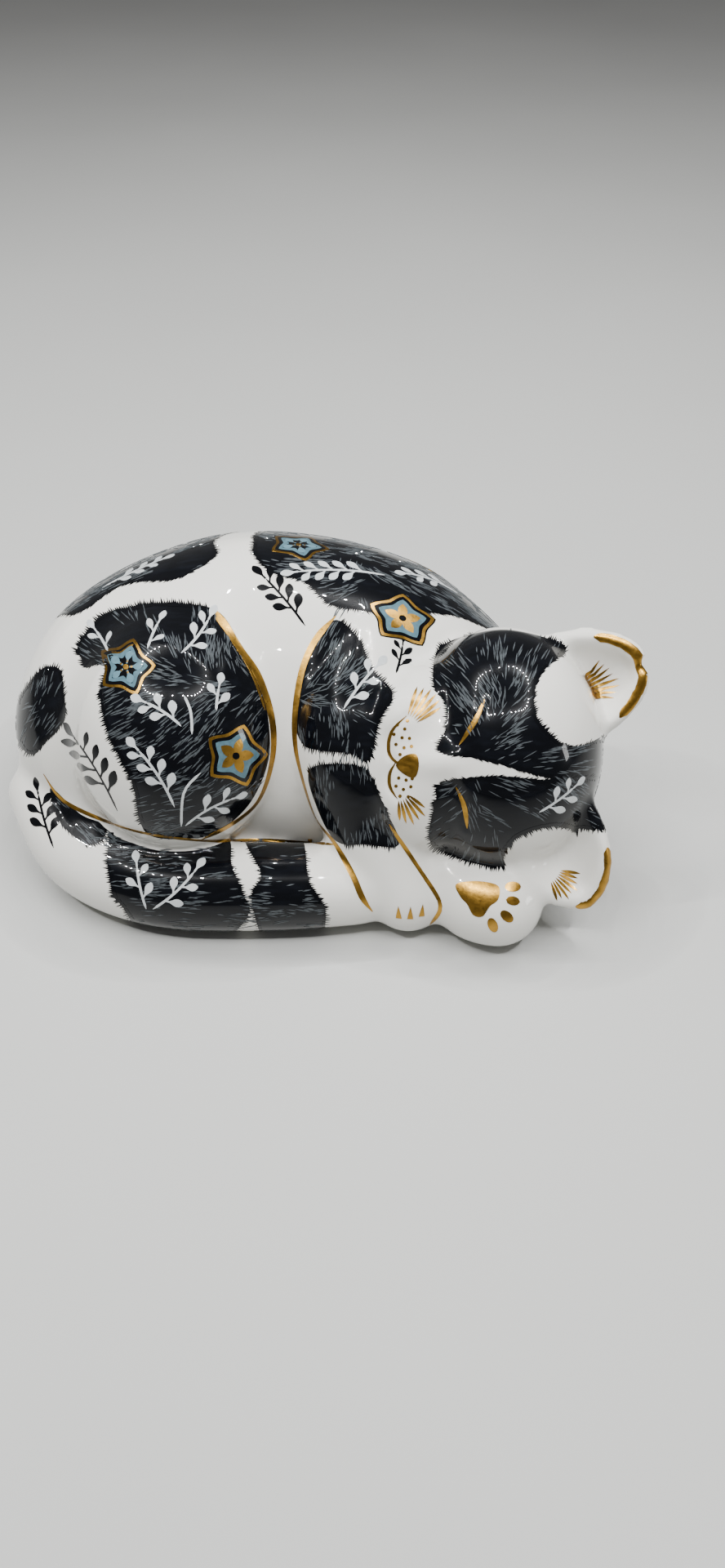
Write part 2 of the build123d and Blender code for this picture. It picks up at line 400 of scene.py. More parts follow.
# Each patch over the front: the forms it may lie on, its outline on the easel's sheet, and guides
# that give the way the hair lies in degrees at places in it.
FUR = {
    "haunch": {
        "on": ("trunk", "haunch"),
        "outline": [
            (-42.5, 20.5), (-39, 25), (-34, 26.5), (-29.5, 27), (-22, 26), (-18.5, 21.5),
            (-15.5, 16), (-14, 9.5), (-14, 3.5), (-16.5, -2.5), (-20.5, -6.5), (-24, -8),
            (-32, -7.5), (-34, -1), (-35, 2), (-37.5, 6.5), (-39, 12), (-39, 14.5), (-38, 18),
            (-41, 17.5), (-42, 19),
        ],
        "flow": [
            (-40, 21, 150), (-30, 26, 95), (-22, 22, 80), (-37, 12, 215), (-25, 8, 230),
            (-17, 6, 250), (-32, -2, 195), (-22, -6, 182),
        ],
    },
    "rump": {
        "on": ("trunk",),
        "outline": [
            (-46.5, 17.5), (-45, 17), (-44.5, 13.5), (-44.5, 9.5), (-47.5, 6), (-49, 4.5),
            (-50.5, 5), (-52, 8.5), (-51, 13), (-48, 17),
        ],
        "flow": [(-47, 15, 70), (-47, 8, 240)],
    },
    "shoulder_high": {
        "on": ("foreleg", "trunk"),
        "outline": [
            (-4, 24.5), (-0.5, 21.5), (1.5, 17), (4.5, 13.5), (2.5, 9.5), (1, 3.5), (-1.5, 4.5),
            (-6.5, 5), (-9, 6), (-10, 9.5), (-9, 17), (-7, 21.5),
        ],
        "flow": [(-5, 20, 70), (2, 14, 30), (-4, 7, 262)],
    },
    "shoulder_low": {
        "on": ("foreleg", "trunk"),
        "outline": [
            (-8, 2), (-4, 3), (0.5, 2), (3, -3), (5.5, -9), (0.5, -9), (-4, -8.5), (-7, -3),
        ],
        "flow": [(-4, 2, 95), (0, -7, 275)],
    },
    "tail_root": {
        "on": ("tail", "trunk"),
        "outline": [
            (-46.5, -0.5), (-42, -4.5), (-38.5, -6), (-38.5, -8), (-41, -9), (-45, -5.5),
        ],
        "flow": [(-42, -6, 320)],
    },
    "tail_long": {
        "on": ("tail",),
        "outline": [
            (-36.5, -6), (-29.5, -7), (-20.5, -7.5), (-19.5, -12), (-18, -16), (-17, -19.5),
            (-22, -24), (-31, -24), (-36, -18), (-37, -17), (-38, -11),
        ],
        "flow": [(-36, -12, 180), (-19, -13, 0), (-28, -18, 180)],
    },
    "tail_short": {
        "on": ("tail",),
        "outline": [
            (-17.5, -7.5), (-9.5, -7.5), (-8, -14.5), (-5.5, -19), (-7, -24), (-14, -24),
            (-16.5, -17), (-15, -13.5),
        ],
        "flow": [(-16, -13, 180), (-8, -13, 0)],
    },
    "brow_high": {
        "on": ("head",),
        "outline": [
            (11, 14), (10.5, 16), (11, 19.5), (13.5, 21.5), (21.5, 23), (30, 20.5), (27, 17),
            (25.5, 13.5), (26.5, 9), (31, 5.5), (36.5, 6.5), (36.5, 0), (27, 1.2), (21.5, 2.8),
            (16.5, 4.0), (11.5, 5), (12.5, 8.5), (12.5, 12),
        ],
        "flow": [
            (11, 8, 190), (12, 18, 150), (18, 22, 100), (26, 19, 60), (17, 13, 130), (22, 6, 20),
            (30, 3, 0), (25, 11, 40),
        ],
    },
    "brow_low": {
        "on": ("head",),
        "outline": [
            (11.5, 0), (19, 1), (27, 0.5), (36.5, 0.5), (37, -6), (35.5, -12), (34.5, -16.5),
            (33, -9.5), (31, -6.5), (27, -6.5), (23, -8), (21, -10.5), (20.5, -12.5),
            (14, -11), (10, -8.5), (11, -2),
        ],
        "flow": [
            (11, -4, 180), (13, -10, 220), (20, -11, 270), (20, -3, 350), (33, -5, 340),
            (34, -13, 290),
        ],
    },
}

# Patches over the back: a place along in millimetres and an angle round the trunk.
BACK_FUR = {
    "loin": {
        "outline": [
            (-14.9, 93), (-15.6, 106), (-12.5, 124), (-13.5, 146), (-21, 158), (-30, 150),
            (-37.5, 132), (-40, 108), (-38.5, 92), (-34.5, 80), (-28.1, 88), (-20, 85),
        ],
        "flow": [(-16, 100, 20), (-26, 88, 200), (-36, 95, 200), (-24, 130, 170)],
    },
    "withers": {
        "outline": [
            (-6.2, 85), (-1.6, 82), (1.9, 75), (8.1, 74), (14, 77), (20.1, 83), (26, 91),
            (29, 106), (26, 124), (17, 137), (5, 141), (-3, 130), (-8.5, 116), (-9.5, 102),
            (-8.9, 92),
        ],
        "flow": [(-7, 95, 165), (0, 82, 200), (12, 76, 330), (24, 92, 0), (10, 110, 10)],
    },
    "flank": {
        "outline": [
            (-36, 172), (-29, 166), (-20, 172), (-10, 166), (-4, 158), (2, 160), (3, 172),
            (-3, 186), (-8, 199), (-18, 205), (-30, 200), (-37, 188),
        ],
        "flow": [(-34, 180, 180), (0, 168, 20), (-18, 186, 10), (-18, 202, 190)],
    },
    "chest": {
        "outline": [
            (12, 158), (21, 152), (27, 158), (29, 172), (27, 190), (20, 204), (11, 202),
            (9, 188), (11, 172),
        ],
        "flow": [(13, 162, 150), (26, 162, 40), (20, 196, 270)],
    },
}


def closed_run(outline, spacing=1.0):
    """A closed outline eased round through its points."""
    ring = outline[-2:] + outline + outline[:2]
    run = smooth_run([(x, y, 0) for x, y in ring], spacing)
    eased = np.array([point[:2] for point in run])
    first = np.argmin(np.hypot(*(eased - np.array(outline[0])).T))
    rest = np.hypot(*(eased[first + 5 :] - np.array(outline[0])).T)
    return eased[first : first + 5 + int(np.argmin(rest))]


def inside_by(run, places):
    """How far places lie inside a closed outline, and below nought outside it."""
    start, end = run, np.roll(run, -1, axis=0)
    side = end - start
    result = np.empty(len(places))
    for first in range(0, len(places), 20000):
        part = places[first : first + 20000, None, :]
        reach = part - start
        share = np.clip((reach * side).sum(2) / np.maximum((side**2).sum(1), 1e-9), 0, 1)
        gap = np.hypot(*np.moveaxis(reach - share[..., None] * side, 2, 0)).min(1)
        rises = (start[:, 1] > part[..., 1]) != (end[:, 1] > part[..., 1])
        height = np.where(np.abs(side[:, 1]) < 1e-9, 1e-9, side[:, 1])
        crossing = start[:, 0] + (part[..., 1] - start[:, 1]) * side[:, 0] / height
        within = (rises & (part[..., 0] < crossing)).sum(1) % 2 == 1
        result[first : first + 20000] = np.where(within, gap, -gap)
    return result


# An egg's rough radius, and how far round an ear's spine the white of the ear reaches, in
# millimetres.
EGG_REACH = 15
EAR_REACH = 4.0

# The depth that stands for a place outside every patch, and how far past a form's own edge a patch
# is still worked out, in millimetres.
OUTSIDE = -9.0
MARGIN = -2


def form_gaps(points):
    """Roughly how far points lie from each sculpted form, in millimetres, its small lumps aside."""
    gaps = {}
    for name, (largest, *_) in EGGS.items():
        back = np.array(largest.inverted())
        local = points @ back[:3, :3].T + back[:3, 3]
        gaps[name] = (np.linalg.norm(local, axis=1) - 1) * EGG_REACH
    for name in LIMBS:
        each = [np.linalg.norm(points - np.array(spot), axis=1) - far for spot, far in limb_run(name)]
        gaps[name] = np.min(each, axis=0) / MM
    rings = trunk_rings()
    along = [ring[0].x for ring in rings]
    middle_y = np.interp(points[:, 0], along, [ring[0].y for ring in rings])
    middle_z = np.interp(points[:, 0], along, [ring[0].z for ring in rings])
    depth = np.interp(points[:, 0], along, [ring[1] for ring in rings])
    height = np.interp(points[:, 0], along, [ring[2] for ring in rings])
    round_gap = np.hypot((points[:, 1] - middle_y) / depth, (points[:, 2] - middle_z) / height) - 1
    gaps["trunk"] = round_gap * np.minimum(depth, height) / MM
    for name, ear in EARS.items():
        root, tip = np.array(on_head(*ear["root"])), np.array(on_head(*ear["tip"]))
        share = np.clip(((points - root) @ (tip - root)) / ((tip - root) @ (tip - root)), 0, 1)
        spine = root + share[:, None] * (tip - root)
        gaps[name + "_ear"] = np.linalg.norm(points - spine, axis=1) / MM - EAR_REACH
    return gaps


def facing_easel(points, normals):
    """How squarely each point of the skin faces the easel's point: 1 straight on, 0 edge on."""
    aim = np.array(EASEL_POINT) - points
    return (aim * normals).sum(1) / np.linalg.norm(aim, axis=1)


def fur_depth(points, normals):
    """How far inside its nearest fur patch each point of the skin lies, in millimetres."""
    gaps = form_gaps(points)
    sheet, wrap = sheet_places(points), wrap_places(points)
    facing = facing_easel(points, normals)
    depth = np.full(len(points), OUTSIDE)

    def lay_patch(outline, places, limit):
        near = limit > MARGIN
        inside = np.full(len(points), OUTSIDE)
        inside[near] = inside_by(closed_run(outline), places[near])
        return np.maximum(depth, np.minimum(inside, limit))

    for patch in FUR.values():
        own = np.min([gaps[name] for name in patch["on"]], axis=0)
        other = np.min([gaps[name] for name in gaps if name not in patch["on"]], axis=0)
        limit = (other - own) * 0.7
        if "trunk" in patch["on"]:
            limit = np.minimum(limit, facing * 12)
        depth = lay_patch(patch["outline"], sheet, limit)
    other = np.min([gaps[name] for name in gaps if name not in ("trunk", "haunch")], axis=0)
    for patch in BACK_FUR.values():
        outline = [(x, angle * WRAP_REACH) for x, angle in patch["outline"]]
        depth = lay_patch(outline, wrap, other - gaps["trunk"])
    return depth


# --------------------------------------------------------------------------------- brush strokes


def strips(count, across, stations):
    """A sheet of faces cut into equal strips, and the strip, side and station of each vertex."""
    columns = count * (across + 1)
    bm = bmesh.new()
    bmesh.ops.create_grid(bm, x_segments=columns - 1, y_segments=stations, size=1)
    places = []
    for vert in bm.verts:
        column = round((vert.co.x + 1) / 2 * (columns - 1))
        station = round((vert.co.y + 1) / 2 * stations)
        places.append((column // (across + 1), column % (across + 1), station))
    strip_of = [place[0] for place in places]
    bridges = [face for face in bm.faces if len({strip_of[v.index] for v in face.verts}) > 1]
    bmesh.ops.delete(bm, geom=bridges, context="FACES")
    return bm, places


def resample(points, stations):
    """The given number of spans, evenly spaced, along a run of points."""
    lengths = [0.0]
    for first, second in zip(points, points[1:]):
        lengths.append(lengths[-1] + (second - first).length)
    run, index = [], 0
    for step in range(stations + 1):
        goal = lengths[-1] * step / stations
        while index < len(points) - 2 and lengths[index + 1] < goal:
            index += 1
        span = max(lengths[index + 1] - lengths[index], 1e-9)
        run.append(points[index].lerp(points[index + 1], (goal - lengths[index]) / span))
    return run


def paint(bm, surface, strokes, across, stations, lift, shape, wrap=False):
    """Adds strokes to a bmesh, each a run of points on the china and a width in millimetres.

    A shape gives the share of the width at each share of the length, and wrap lays the sides of a
    stroke on the china too, not only its middle.
    """
    if not strokes:
        return
    sheet, places = strips(len(strokes), across, stations)
    lines = []
    for points, width in strokes:
        run = resample(points, stations)
        line = []
        for index, point in enumerate(run):
            spot, normal = surface.touch(point)
            ahead = run[min(index + 1, stations)] - run[max(index - 1, 0)]
            side = normal.cross(ahead).normalized()
            line.append((spot, normal, side, width * shape(index / stations) / 2 * MM))
        lines.append(line)
    for vert, (strip, edge, station) in zip(sheet.verts, places):
        spot, normal, side, half = lines[strip][station]
        place = spot + side * half * (1 - 2 * edge / across)
        if wrap:
            place, normal = surface.touch(place)
        vert.co = place + normal * lift * MM
    pour(bm, sheet)


def lay_transfer(name, bm, thickness, material):
    """Gives a layer of artwork its thin body, the china's own shading and its material."""
    thing = new_object(name, bm)
    body = thing.modifiers.new("Body", "SOLIDIFY")
    body.thickness = thickness * MM
    body.offset = -1
    shading = thing.modifiers.new("Shade", "DATA_TRANSFER")
    shading.object = bpy.data.objects["china_skin"]
    shading.use_loop_data = True
    shading.data_types_loops = {"CUSTOM_NORMAL"}
    shading.loop_mapping = "POLYINTERP_NEAREST"
    settle(thing)
    dress(thing.data, material)
    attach(thing, "figurine")


def hair(share):
    """A stroke that starts broad and ends in a point."""
    return 1 - share**1.3 * 0.97


def lash(share):
    """A stroke that swells in the middle and is fine at both ends."""
    return 0.06 + 0.94 * math.sin(math.pi * min(max(share, 0), 1)) ** 0.8


def leaf(share):
    """A teardrop on a fine stalk, round at its outer end."""
    stalk, stalk_end = 0.22, 0.3
    if share < stalk_end:
        return stalk
    swell = (share - stalk_end) / (1 - stalk_end)
    return stalk + 0.9 * math.sin(math.pi * swell**1.25) ** 0.75 * (1 - 0.2 * swell)


def line(share):
    """A line of even width with short tapered ends."""
    return min(1.0, 0.15 + 14 * share, 0.15 + 14 * (1 - share))


# ------------------------------------------------------------------------------------ leaf sprays

# Each spray: its drawing, place, way, length, bend in degrees, number of leaves and leaf length.
PALE_SPRAYS = [
    ("sheet", -37.9, 19.8, 118, 3.8, 15, 3, 2.0),
    ("sheet", -32.0, 20.2, 70, 4.4, -15, 3, 2.1),
    ("sheet", -27.0, 19.5, 47, 7.0, 25, 5, 2.4),
    ("sheet", -27.0, 8.6, 142, 6.8, 25, 5, 2.5),
    ("sheet", -21.8, 11.0, 85, 3.6, -10, 3, 2.3),
    ("sheet", -28.0, -3.4, 119, 10.8, 22, 7, 2.6),
    ("sheet", -26.4, -6.2, 34, 8.6, -25, 5, 2.5),
    ("sheet", -32.2, -18.6, 105, 7.0, -15, 4, 2.4),
    ("sheet", -31.2, -18.6, 38, 9.0, 25, 5, 2.5),
    ("sheet", -2.8, 11.2, 55, 8.2, -15, 5, 2.5),
    ("sheet", 26.3, -4.2, 33, 6.8, 15, 5, 2.3),
    ("near", (40, 1, 24), 0, 60, 8.0, 15, 6, 2.5),
    ("back", 9.5, 91, 188, 13.5, 14, 10, 2.6),
    ("back", 20.5, 103, 200, 8.5, 10, 6, 2.5),
    ("back", -31.5, 91.5, 22, 9.5, -10, 7, 2.3),
    ("back", -29.0, 122, 10, 10.5, 20, 7, 2.8),
    ("back", 3.0, 120, 8, 10.0, 25, 7, 2.7),
    ("back", -34.0, 184, 12, 9.0, -15, 6, 2.6),
    ("back", -12.5, 186, 25, 9.0, 20, 6, 2.6),
    ("back", 20.5, 200, 285, 8.5, 20, 6, 2.5),
]
# Bare stems between the sprays: points on the sheet.
PALE_STEMS = [
    [(-26.6, 13.2), (-25.6, 10.8), (-25.4, 7.4)],
    [(-24.1, 1.7), (-26.6, -1.2), (-27.0, -6.3)],
]
DARK_SPRAYS = [
    ("sheet", -36.5, -4.0, 118, 13.5, 15, 9, 2.9),
    ("sheet", -46.0, -9.5, 108, 9.0, -12, 7, 2.6),
    ("sheet", -8.5, 23.5, 128, 10.0, 12, 8, 2.7),
    ("sheet", 5.0, 16.5, 75, 4.6, 12, 5, 2.0),
    ("back", -2.0, 148, 30, 11.5, -18, 7, 2.8),
    ("near", (-42, 17, 9), 0, 80, 11.0, 18, 8, 2.8),
    ("back", 5.5, 203, 284, 11.5, 15, 8, 2.7),
    ("back", 22.0, 142, 20, 6.0, 12, 5, 2.4),
]


# Width of a stem and of a leaf for its length, and how far the leaves lean out from the stem.
STEM_WIDTH = 0.34
LEAF_SHARE = 0.47
LEAF_LEAN = math.radians(52)


def spray_strokes(surface, kind, across, up, angle, length, bend, leaves, leaf_length):
    """The stem and the leaves of one spray, as runs of places on the china."""
    lay = surface.motif(kind, across, up, angle)
    turn = math.radians(bend)

    def on_stem(share):
        way = turn * (share - 0.3)
        return Vector((length * share, length * turn * share * (share - 0.6) * 0.5)), way

    stem = [lay(*on_stem(step / 8 * 0.93)[0])[0] for step in range(9)]
    blades = []
    for index in range(leaves):
        share = 0.24 + 0.7 * index / max(leaves - 1, 1)
        root, way = on_stem(min(share, 0.92))
        hand = 1 if index % 2 else -1
        last = index == leaves - 1
        lean = way if last else way + hand * LEAF_LEAN
        size = leaf_length * (1.0 if last else 1.05 - 0.25 * share)
        reach = Vector((math.cos(lean), math.sin(lean)))
        bow = Vector((math.cos(way), math.sin(way))) * 0.16
        flats = [
            root + (reach + bow * (0 if last else far)) * size * far for far in (0, 0.35, 0.7, 1)
        ]
        blades.append(([lay(*flat)[0] for flat in flats], size * LEAF_SHARE))
    return (stem, STEM_WIDTH), blades


def sprays(name, data, bare, lift, material):
    """Paints every spray and bare stem of one colour as a single layer."""
    surface = Surface()
    stems, blades = [(sheet_line(surface, points), STEM_WIDTH) for points in bare], []
    for row in data:
        stem, leaves = spray_strokes(surface, *row)
        stems.append(stem)
        blades.extend(leaves)
    bm = bmesh.new()
    paint(bm, surface, stems, 1, 10, lift, line)
    paint(bm, surface, blades, 2, 8, lift + 0.005, leaf)
    lay_transfer(name, bm, 0.08, material)


# --------------------------------------------------------------------------------------- blossoms

# Each blossom: its drawing, place, way, radius and kind.
BLOSSOMS = [
    ("sheet", -35.2, 17.4, 75, 4.4, "star"),
    ("sheet", -18.9, 4.2, 75, 4.8, "gold"),
    ("back", 11.9, 73, 88, 4.8, "gold"),
    ("back", -3.0, 101, 70, 4.5, "star"),
    ("back", -21.0, 140, 90, 4.4, "gold"),
    ("back", 16.5, 124, 60, 4.2, "star"),
    ("back", -19.0, 188, 90, 4.6, "star"),
    ("back", 19.0, 172, 80, 4.4, "gold"),
]


# The layers of each kind of blossom, lowest first: colour, share of the radius, how deeply the five
# petals are notched, and lift off the china in millimetres.
BLOSSOM_LAYERS = {
    "star": [
        ("gold", 1, 0.28, 0.06), ("dark", 0.88, 0.29, 0.075), ("blue", 0.74, 0.33, 0.09),
        ("dark", 0.60, 0.48, 0.105),
    ],
    "gold": [
        ("dark", 1.05, 0.25, 0.05), ("gold", 1, 0.26, 0.06), ("dark", 0.88, 0.27, 0.075),
        ("blue", 0.74, 0.29, 0.09),
    ],
}


def petal_rim(way, radius, pinch):
    """The distance from a blossom's middle to its rim, with five pointed petals."""
    return radius * (1 - pinch * abs(math.sin(2.5 * way)) ** 1.15)


def rosette(bm, lay, radius, pinch, lift, sides=50):
    """Adds a five-petal shape, or a round one where nothing pinches it, laid over the china."""
    sheet = bmesh.new()
    bmesh.ops.create_grid(sheet, x_segments=sides, y_segments=4 if pinch else 2, size=1)
    for vert in sheet.verts:
        way = -(vert.co.x + 1) * math.pi
        far = petal_rim(way, radius, pinch) * (vert.co.y + 1) / 2
        place, normal = lay(far * math.cos(way), far * math.sin(way))
        vert.co = place + normal * lift * MM
    bmesh.ops.remove_doubles(sheet, verts=sheet.verts, dist=1e-6)
    pour(bm, sheet)


def petals(lay, inner, outer, width):
    """Five strokes that stand round a blossom's middle."""
    strokes = []
    for index in range(5):
        way = index * math.tau / 5
        reach = (inner, (inner + outer) / 2, outer)
        strokes.append(([lay(far * math.cos(way), far * math.sin(way))[0] for far in reach], width))
    return strokes


# ---------------------------------------------------------------------------------------- gilding

# Gold lines on the sheet: points, and the width in millimetres.
GOLD_LINES = [
    ([(-22, 26), (-18.5, 20.5), (-15.5, 16), (-13.5, 9.5), (-13.5, 3.5), (-15.5, -2.5),
      (-19.5, -6), (-24, -8.3)], 1.15),
    ([(-22, 25), (-19.5, 21.5), (-16.5, 16.5), (-14.5, 11)], 0.4),
    ([(-47.5, 1.5), (-44.5, -2.5), (-38, -5.6), (-32, -7.4), (-24, -8.4), (-14, -8.4),
      (-4, -9)], 0.6),
    ([(-4, 25), (-7, 21.5), (-9, 17), (-10, 11), (-10, 6), (-9, 1), (-7, -5), (-4, -9),
      (-1.5, -13.5), (0, -17), (1.5, -19)], 0.85),
    ([(4, -6), (8, -12), (11, -16.5), (11.6, -18), (11.4, -19.2), (10, -21)], 0.6),
]

# Each gilt ear edge: the ear, the shares of its height where the gold ends on the two sides, and how
# far out and forward of the ear's own outline the brush runs, in millimetres.
GILT_EARS = [("upper", 0.62, 0.62, 0.9, 1.1), ("lower", 0.95, 0.5, 0.1, 2.2)]
GILT_WIDTH = 1.55

# The closed eyes and the mouth: points on the sheet, and the width in millimetres.
FACE_LINES = [
    ([(18.2, 12.6), (16.8, 9.4), (14.4, 5.8)], 0.75),
    ([(13.9, -0.4), (15.2, -3.3), (15.6, -6.6)], 0.75),
    ([(7.2, 2.6), (5.0, 3.3), (3.9, 5.0), (4.4, 7.9), (6.6, 10.2)], 0.52),
    ([(5.0, 3.3), (4.1, 1.6), (4.1, -0.4), (5.2, -2.2)], 0.52),
]
# Fans of fine strokes on the cheeks and in the ears: drawing, place, way, length, count and the
# degrees between them. Then the dots on the cheeks, and the nose's outline.
WHISKERS = [
    ("sheet", 7.2, 9.4, 52, 5.4, 6, 8), ("sheet", 6.0, -1.8, -62, 4.4, 6, 10),
    ("sheet", 33.4, 14.2, 24, 5.2, 8, 9), ("sheet", 28.6, -13.6, -40, 4.2, 8, 9),
]
WHISKER_WIDTH = 0.46
DOT_RADIUS = 0.26
DOTS = [
    (5.2, 8.8), (6.3, 8.2), (4.7, 7.4), (5.9, 6.9), (7.0, 6.8), (5.0, 5.9), (6.2, 5.4), (7.3, 5.6),
    (5.6, 4.4), (6.7, 9.4), (5.4, 0.9), (6.5, 0.6), (5.0, -0.3), (6.1, -0.8), (7.2, -0.4),
    (5.6, -1.8), (6.8, -1.9), (7.4, 0.8),
]
NOSE = [(5.0, 2.8), (6.3, 4.2), (8.0, 4.4), (8.4, 2.7), (7.8, 1.0), (6.3, 1.4)]

# The paws: place of each claw and its way; place, way and size of each toe; and the pad's outline.
CLAWS = [(5.4, -20.0, 92), (7.1, -20.1, 88), (8.8, -19.7, 84)]
TOES = [
    (22.4, -15.3, 0, 0.95), (22.4, -17.4, -10, 0.85), (21.5, -19.7, -40, 0.9),
    (19.4, -21.0, -65, 0.9),
]
PAD = [
    (13.9, -15.0), (16.0, -14.5), (18.4, -14.6), (20.3, -15.3), (20.2, -17.2), (19.0, -18.2),
    (17.9, -19.7), (16.5, -19.5), (15.6, -17.9), (14.6, -16.8),
]


def ear_rim(surface, ear, low, high, out_by, face_by):
    """The run along an ear's front edge, from a share of its height on one side to the other."""
    root, rise, across = ear_axes(ear)
    if across.dot(TO_CROWN) < 0:
        across = -across
    middle = root + rise * 0.6
    run = []
    for index in range(33):
        share = index / 16 - 1
        up = 1 - (1 - (low if share < 0 else high)) * share * share
        half_width = ear["width"] / 2 * MM * (1 - up**2.6) ** 0.6
        spot = root + rise * (up * 1.2 - 0.2) + across * math.copysign(half_width, share)
        out = (spot - middle).normalized()
        curl = ear["cup"] * 0.5 * (1 - 0.45 * up)
        run.append(spot + out * out_by * MM + TO_FACE * (curl + face_by) * MM)
    for _ in range(4):
        run[1:-1] = [(a + b * 2 + c) / 4 for a, b, c in zip(run, run[1:], run[2:])]
    return [surface.touch(point)[0] for point in run]


def sheet_line(surface, points, spacing=0.8):
    """A run of places on the china under a line drawn on the sheet."""
    run = smooth_run([(x, y, 0) for x, y in points], spacing)
    return [surface.sheet(point.x, point.y)[0] for point in run]


def sheet_shape(bm, surface, outline, lift):
    """A filled shape drawn on the sheet and laid over the china."""
    run = closed_run(outline, 0.4)
    middle = run.mean(axis=0)
    sheet = bmesh.new()
    bmesh.ops.create_grid(sheet, x_segments=len(run), y_segments=5, size=1)
    for vert in sheet.verts:
        rim = run[round((vert.co.x + 1) / 2 * len(run)) % len(run)]
        across, up = middle + (rim - middle) * (vert.co.y + 1) / 2
        place, normal = surface.sheet(across, up)
        vert.co = place + normal * lift * MM
    bmesh.ops.remove_doubles(sheet, verts=sheet.verts, dist=1e-6)
    facing = sum(
        face.normal.dot(surface.touch(face.calc_center_median())[1]) for face in sheet.faces
    )
    if facing < 0:
        bmesh.ops.reverse_faces(sheet, faces=sheet.faces[:])
    pour(bm, sheet)


# --------------------------------------------------------------------------------------- finishes


def fresh_material(name):
    """An empty material with one surface shader, and its nodes and links."""
    material = bpy.data.materials.new(name)
    material.use_nodes = True
    nodes, links = material.node_tree.nodes, material.node_tree.links
    return material, nodes, links, nodes["Principled BSDF"]


def tune(node, values):
    """Sets a node's inputs by name."""
    for name, value in values.items():
        node.inputs[name].default_value = value


def object_noise(nodes, links, scale, detail, stretch=(1, 1, 1)):
    """A noise on the object's own coordinates, closer or wider spaced along each axis."""
    place = nodes.new("ShaderNodeTexCoord")
    mapping = nodes.new("ShaderNodeMapping")
    tune(mapping, {"Scale": stretch})
    pattern = nodes.new("ShaderNodeTexNoise")
    tune(pattern, {"Scale": scale, "Detail": detail})
    links.new(place.outputs["Object"], mapping.inputs["Vector"])
    links.new(mapping.outputs["Vector"], pattern.inputs["Vector"])
    return pattern.outputs["Fac"]


def ramp(nodes, links, value, stops):
    """A colour ramp over a value, from places and colours."""
    blend = nodes.new("ShaderNodeValToRGB")
    blend.color_ramp.elements[0].position, blend.color_ramp.elements[0].color = stops[0]
    blend.color_ramp.elements[1].position, blend.color_ramp.elements[1].color = stops[-1]
    for place, colour in stops[1:-1]:
        blend.color_ramp.elements.new(place).color = colour
    links.new(value, blend.inputs["Fac"])
    return blend.outputs["Color"]


def spread(nodes, links, value, ends, smooth=False):
    """A value mapped from or to the given ends."""
    span = nodes.new("ShaderNodeMapRange")
    if smooth:
        span.interpolation_type = "SMOOTHSTEP"
    tune(span, ends)
    links.new(value, span.inputs["Value"])
    return span.outputs["Result"]


def mixed(nodes, links, factor, first, second):
    """A colour mixed by a factor with another colour, or with a plain one given as numbers."""
    mix = nodes.new("ShaderNodeMix")
    mix.data_type = "RGBA"
    links.new(factor, mix.inputs["Factor"])
    links.new(first, mix.inputs["A"])
    if isinstance(second, tuple):
        tune(mix, {"B": second})
    else:
        links.new(second, mix.inputs["B"])
    return mix.outputs["Result"]


def shade(colour, factor):
    """A colour made lighter or darker."""
    return (*(min(channel * factor, 1) for channel in colour[:3]), 1)


def bump(nodes, links, value, strength, distance, shader):
    """Ripples a shader's surface by a value."""
    relief = nodes.new("ShaderNodeBump")
    tune(relief, {"Strength": strength, "Distance": distance})
    links.new(value, relief.inputs["Height"])
    links.new(relief.outputs["Normal"], shader.inputs["Normal"])


# A clear, wet-looking glaze over a dull body.
GLAZE = {
    "Roughness": 0.22,
    "IOR": 1.5,
    "Specular IOR Level": 0.05,
    "Coat Weight": 1.0,
    "Coat Roughness": 0.02,
    "Coat IOR": 1.3,
}


def china_material(look):
    """White glaze, with black fur patches where the skin says it lies inside one."""
    material, nodes, links, shader = fresh_material("painted_china")
    tune(shader, GLAZE)
    cloud = object_noise(nodes, links, 90, 3)
    white = ramp(
        nodes, links, cloud, [(0.35, shade(look.china_colour, 0.965)), (0.65, look.china_colour[:])]
    )
    hairs = object_noise(nodes, links, 900, 4, (0.35, 1, 1))
    black = ramp(
        nodes, links, hairs, [(0.45, look.enamel_colour[:]), (0.72, shade(look.enamel_colour, 2.0))]
    )
    depth = nodes.new("ShaderNodeAttribute")
    depth.attribute_name = "fur_depth"
    edge = spread(nodes, links, depth.outputs["Fac"], {"From Min": -0.03, "From Max": 0.03})
    links.new(mixed(nodes, links, edge, white, black), shader.inputs["Base Color"])
    bump(nodes, links, object_noise(nodes, links, 220, 2), 0.05, 0.0004, shader)
    return material


def enamel_material(name, colour, unevenness):
    """A glossy fired enamel with the slight unevenness of hand painting."""
    material, nodes, links, shader = fresh_material(name)
    tune(shader, GLAZE)
    cloud = object_noise(nodes, links, 1400, 3)
    tint = ramp(nodes, links, cloud, [(0.3, shade(colour, 1 - unevenness)), (0.7, colour[:])])
    links.new(tint, shader.inputs["Base Color"])
    return material


def gold_material(look):
    """Burnished gilding: bright, a little brushed, and thinner in places."""
    material, nodes, links, shader = fresh_material("burnished_gold")
    cloud = object_noise(nodes, links, 700, 4)
    tint = ramp(
        nodes, links, cloud, [(0.3, shade(look.gold_colour, 0.62)), (0.62, look.gold_colour[:])]
    )
    links.new(tint, shader.inputs["Base Color"])
    wear = object_noise(nodes, links, 2600, 3)
    rough = spread(nodes, links, wear, {"To Min": 0.2, "To Max": 0.42})
    links.new(rough, shader.inputs["Roughness"])
    tune(shader, {"Metallic": 1.0})
    bump(nodes, links, object_noise(nodes, links, 3200, 2), 0.12, 0.0001, shader)
    return material


# ------------------------------------------------------------------------------------ properties


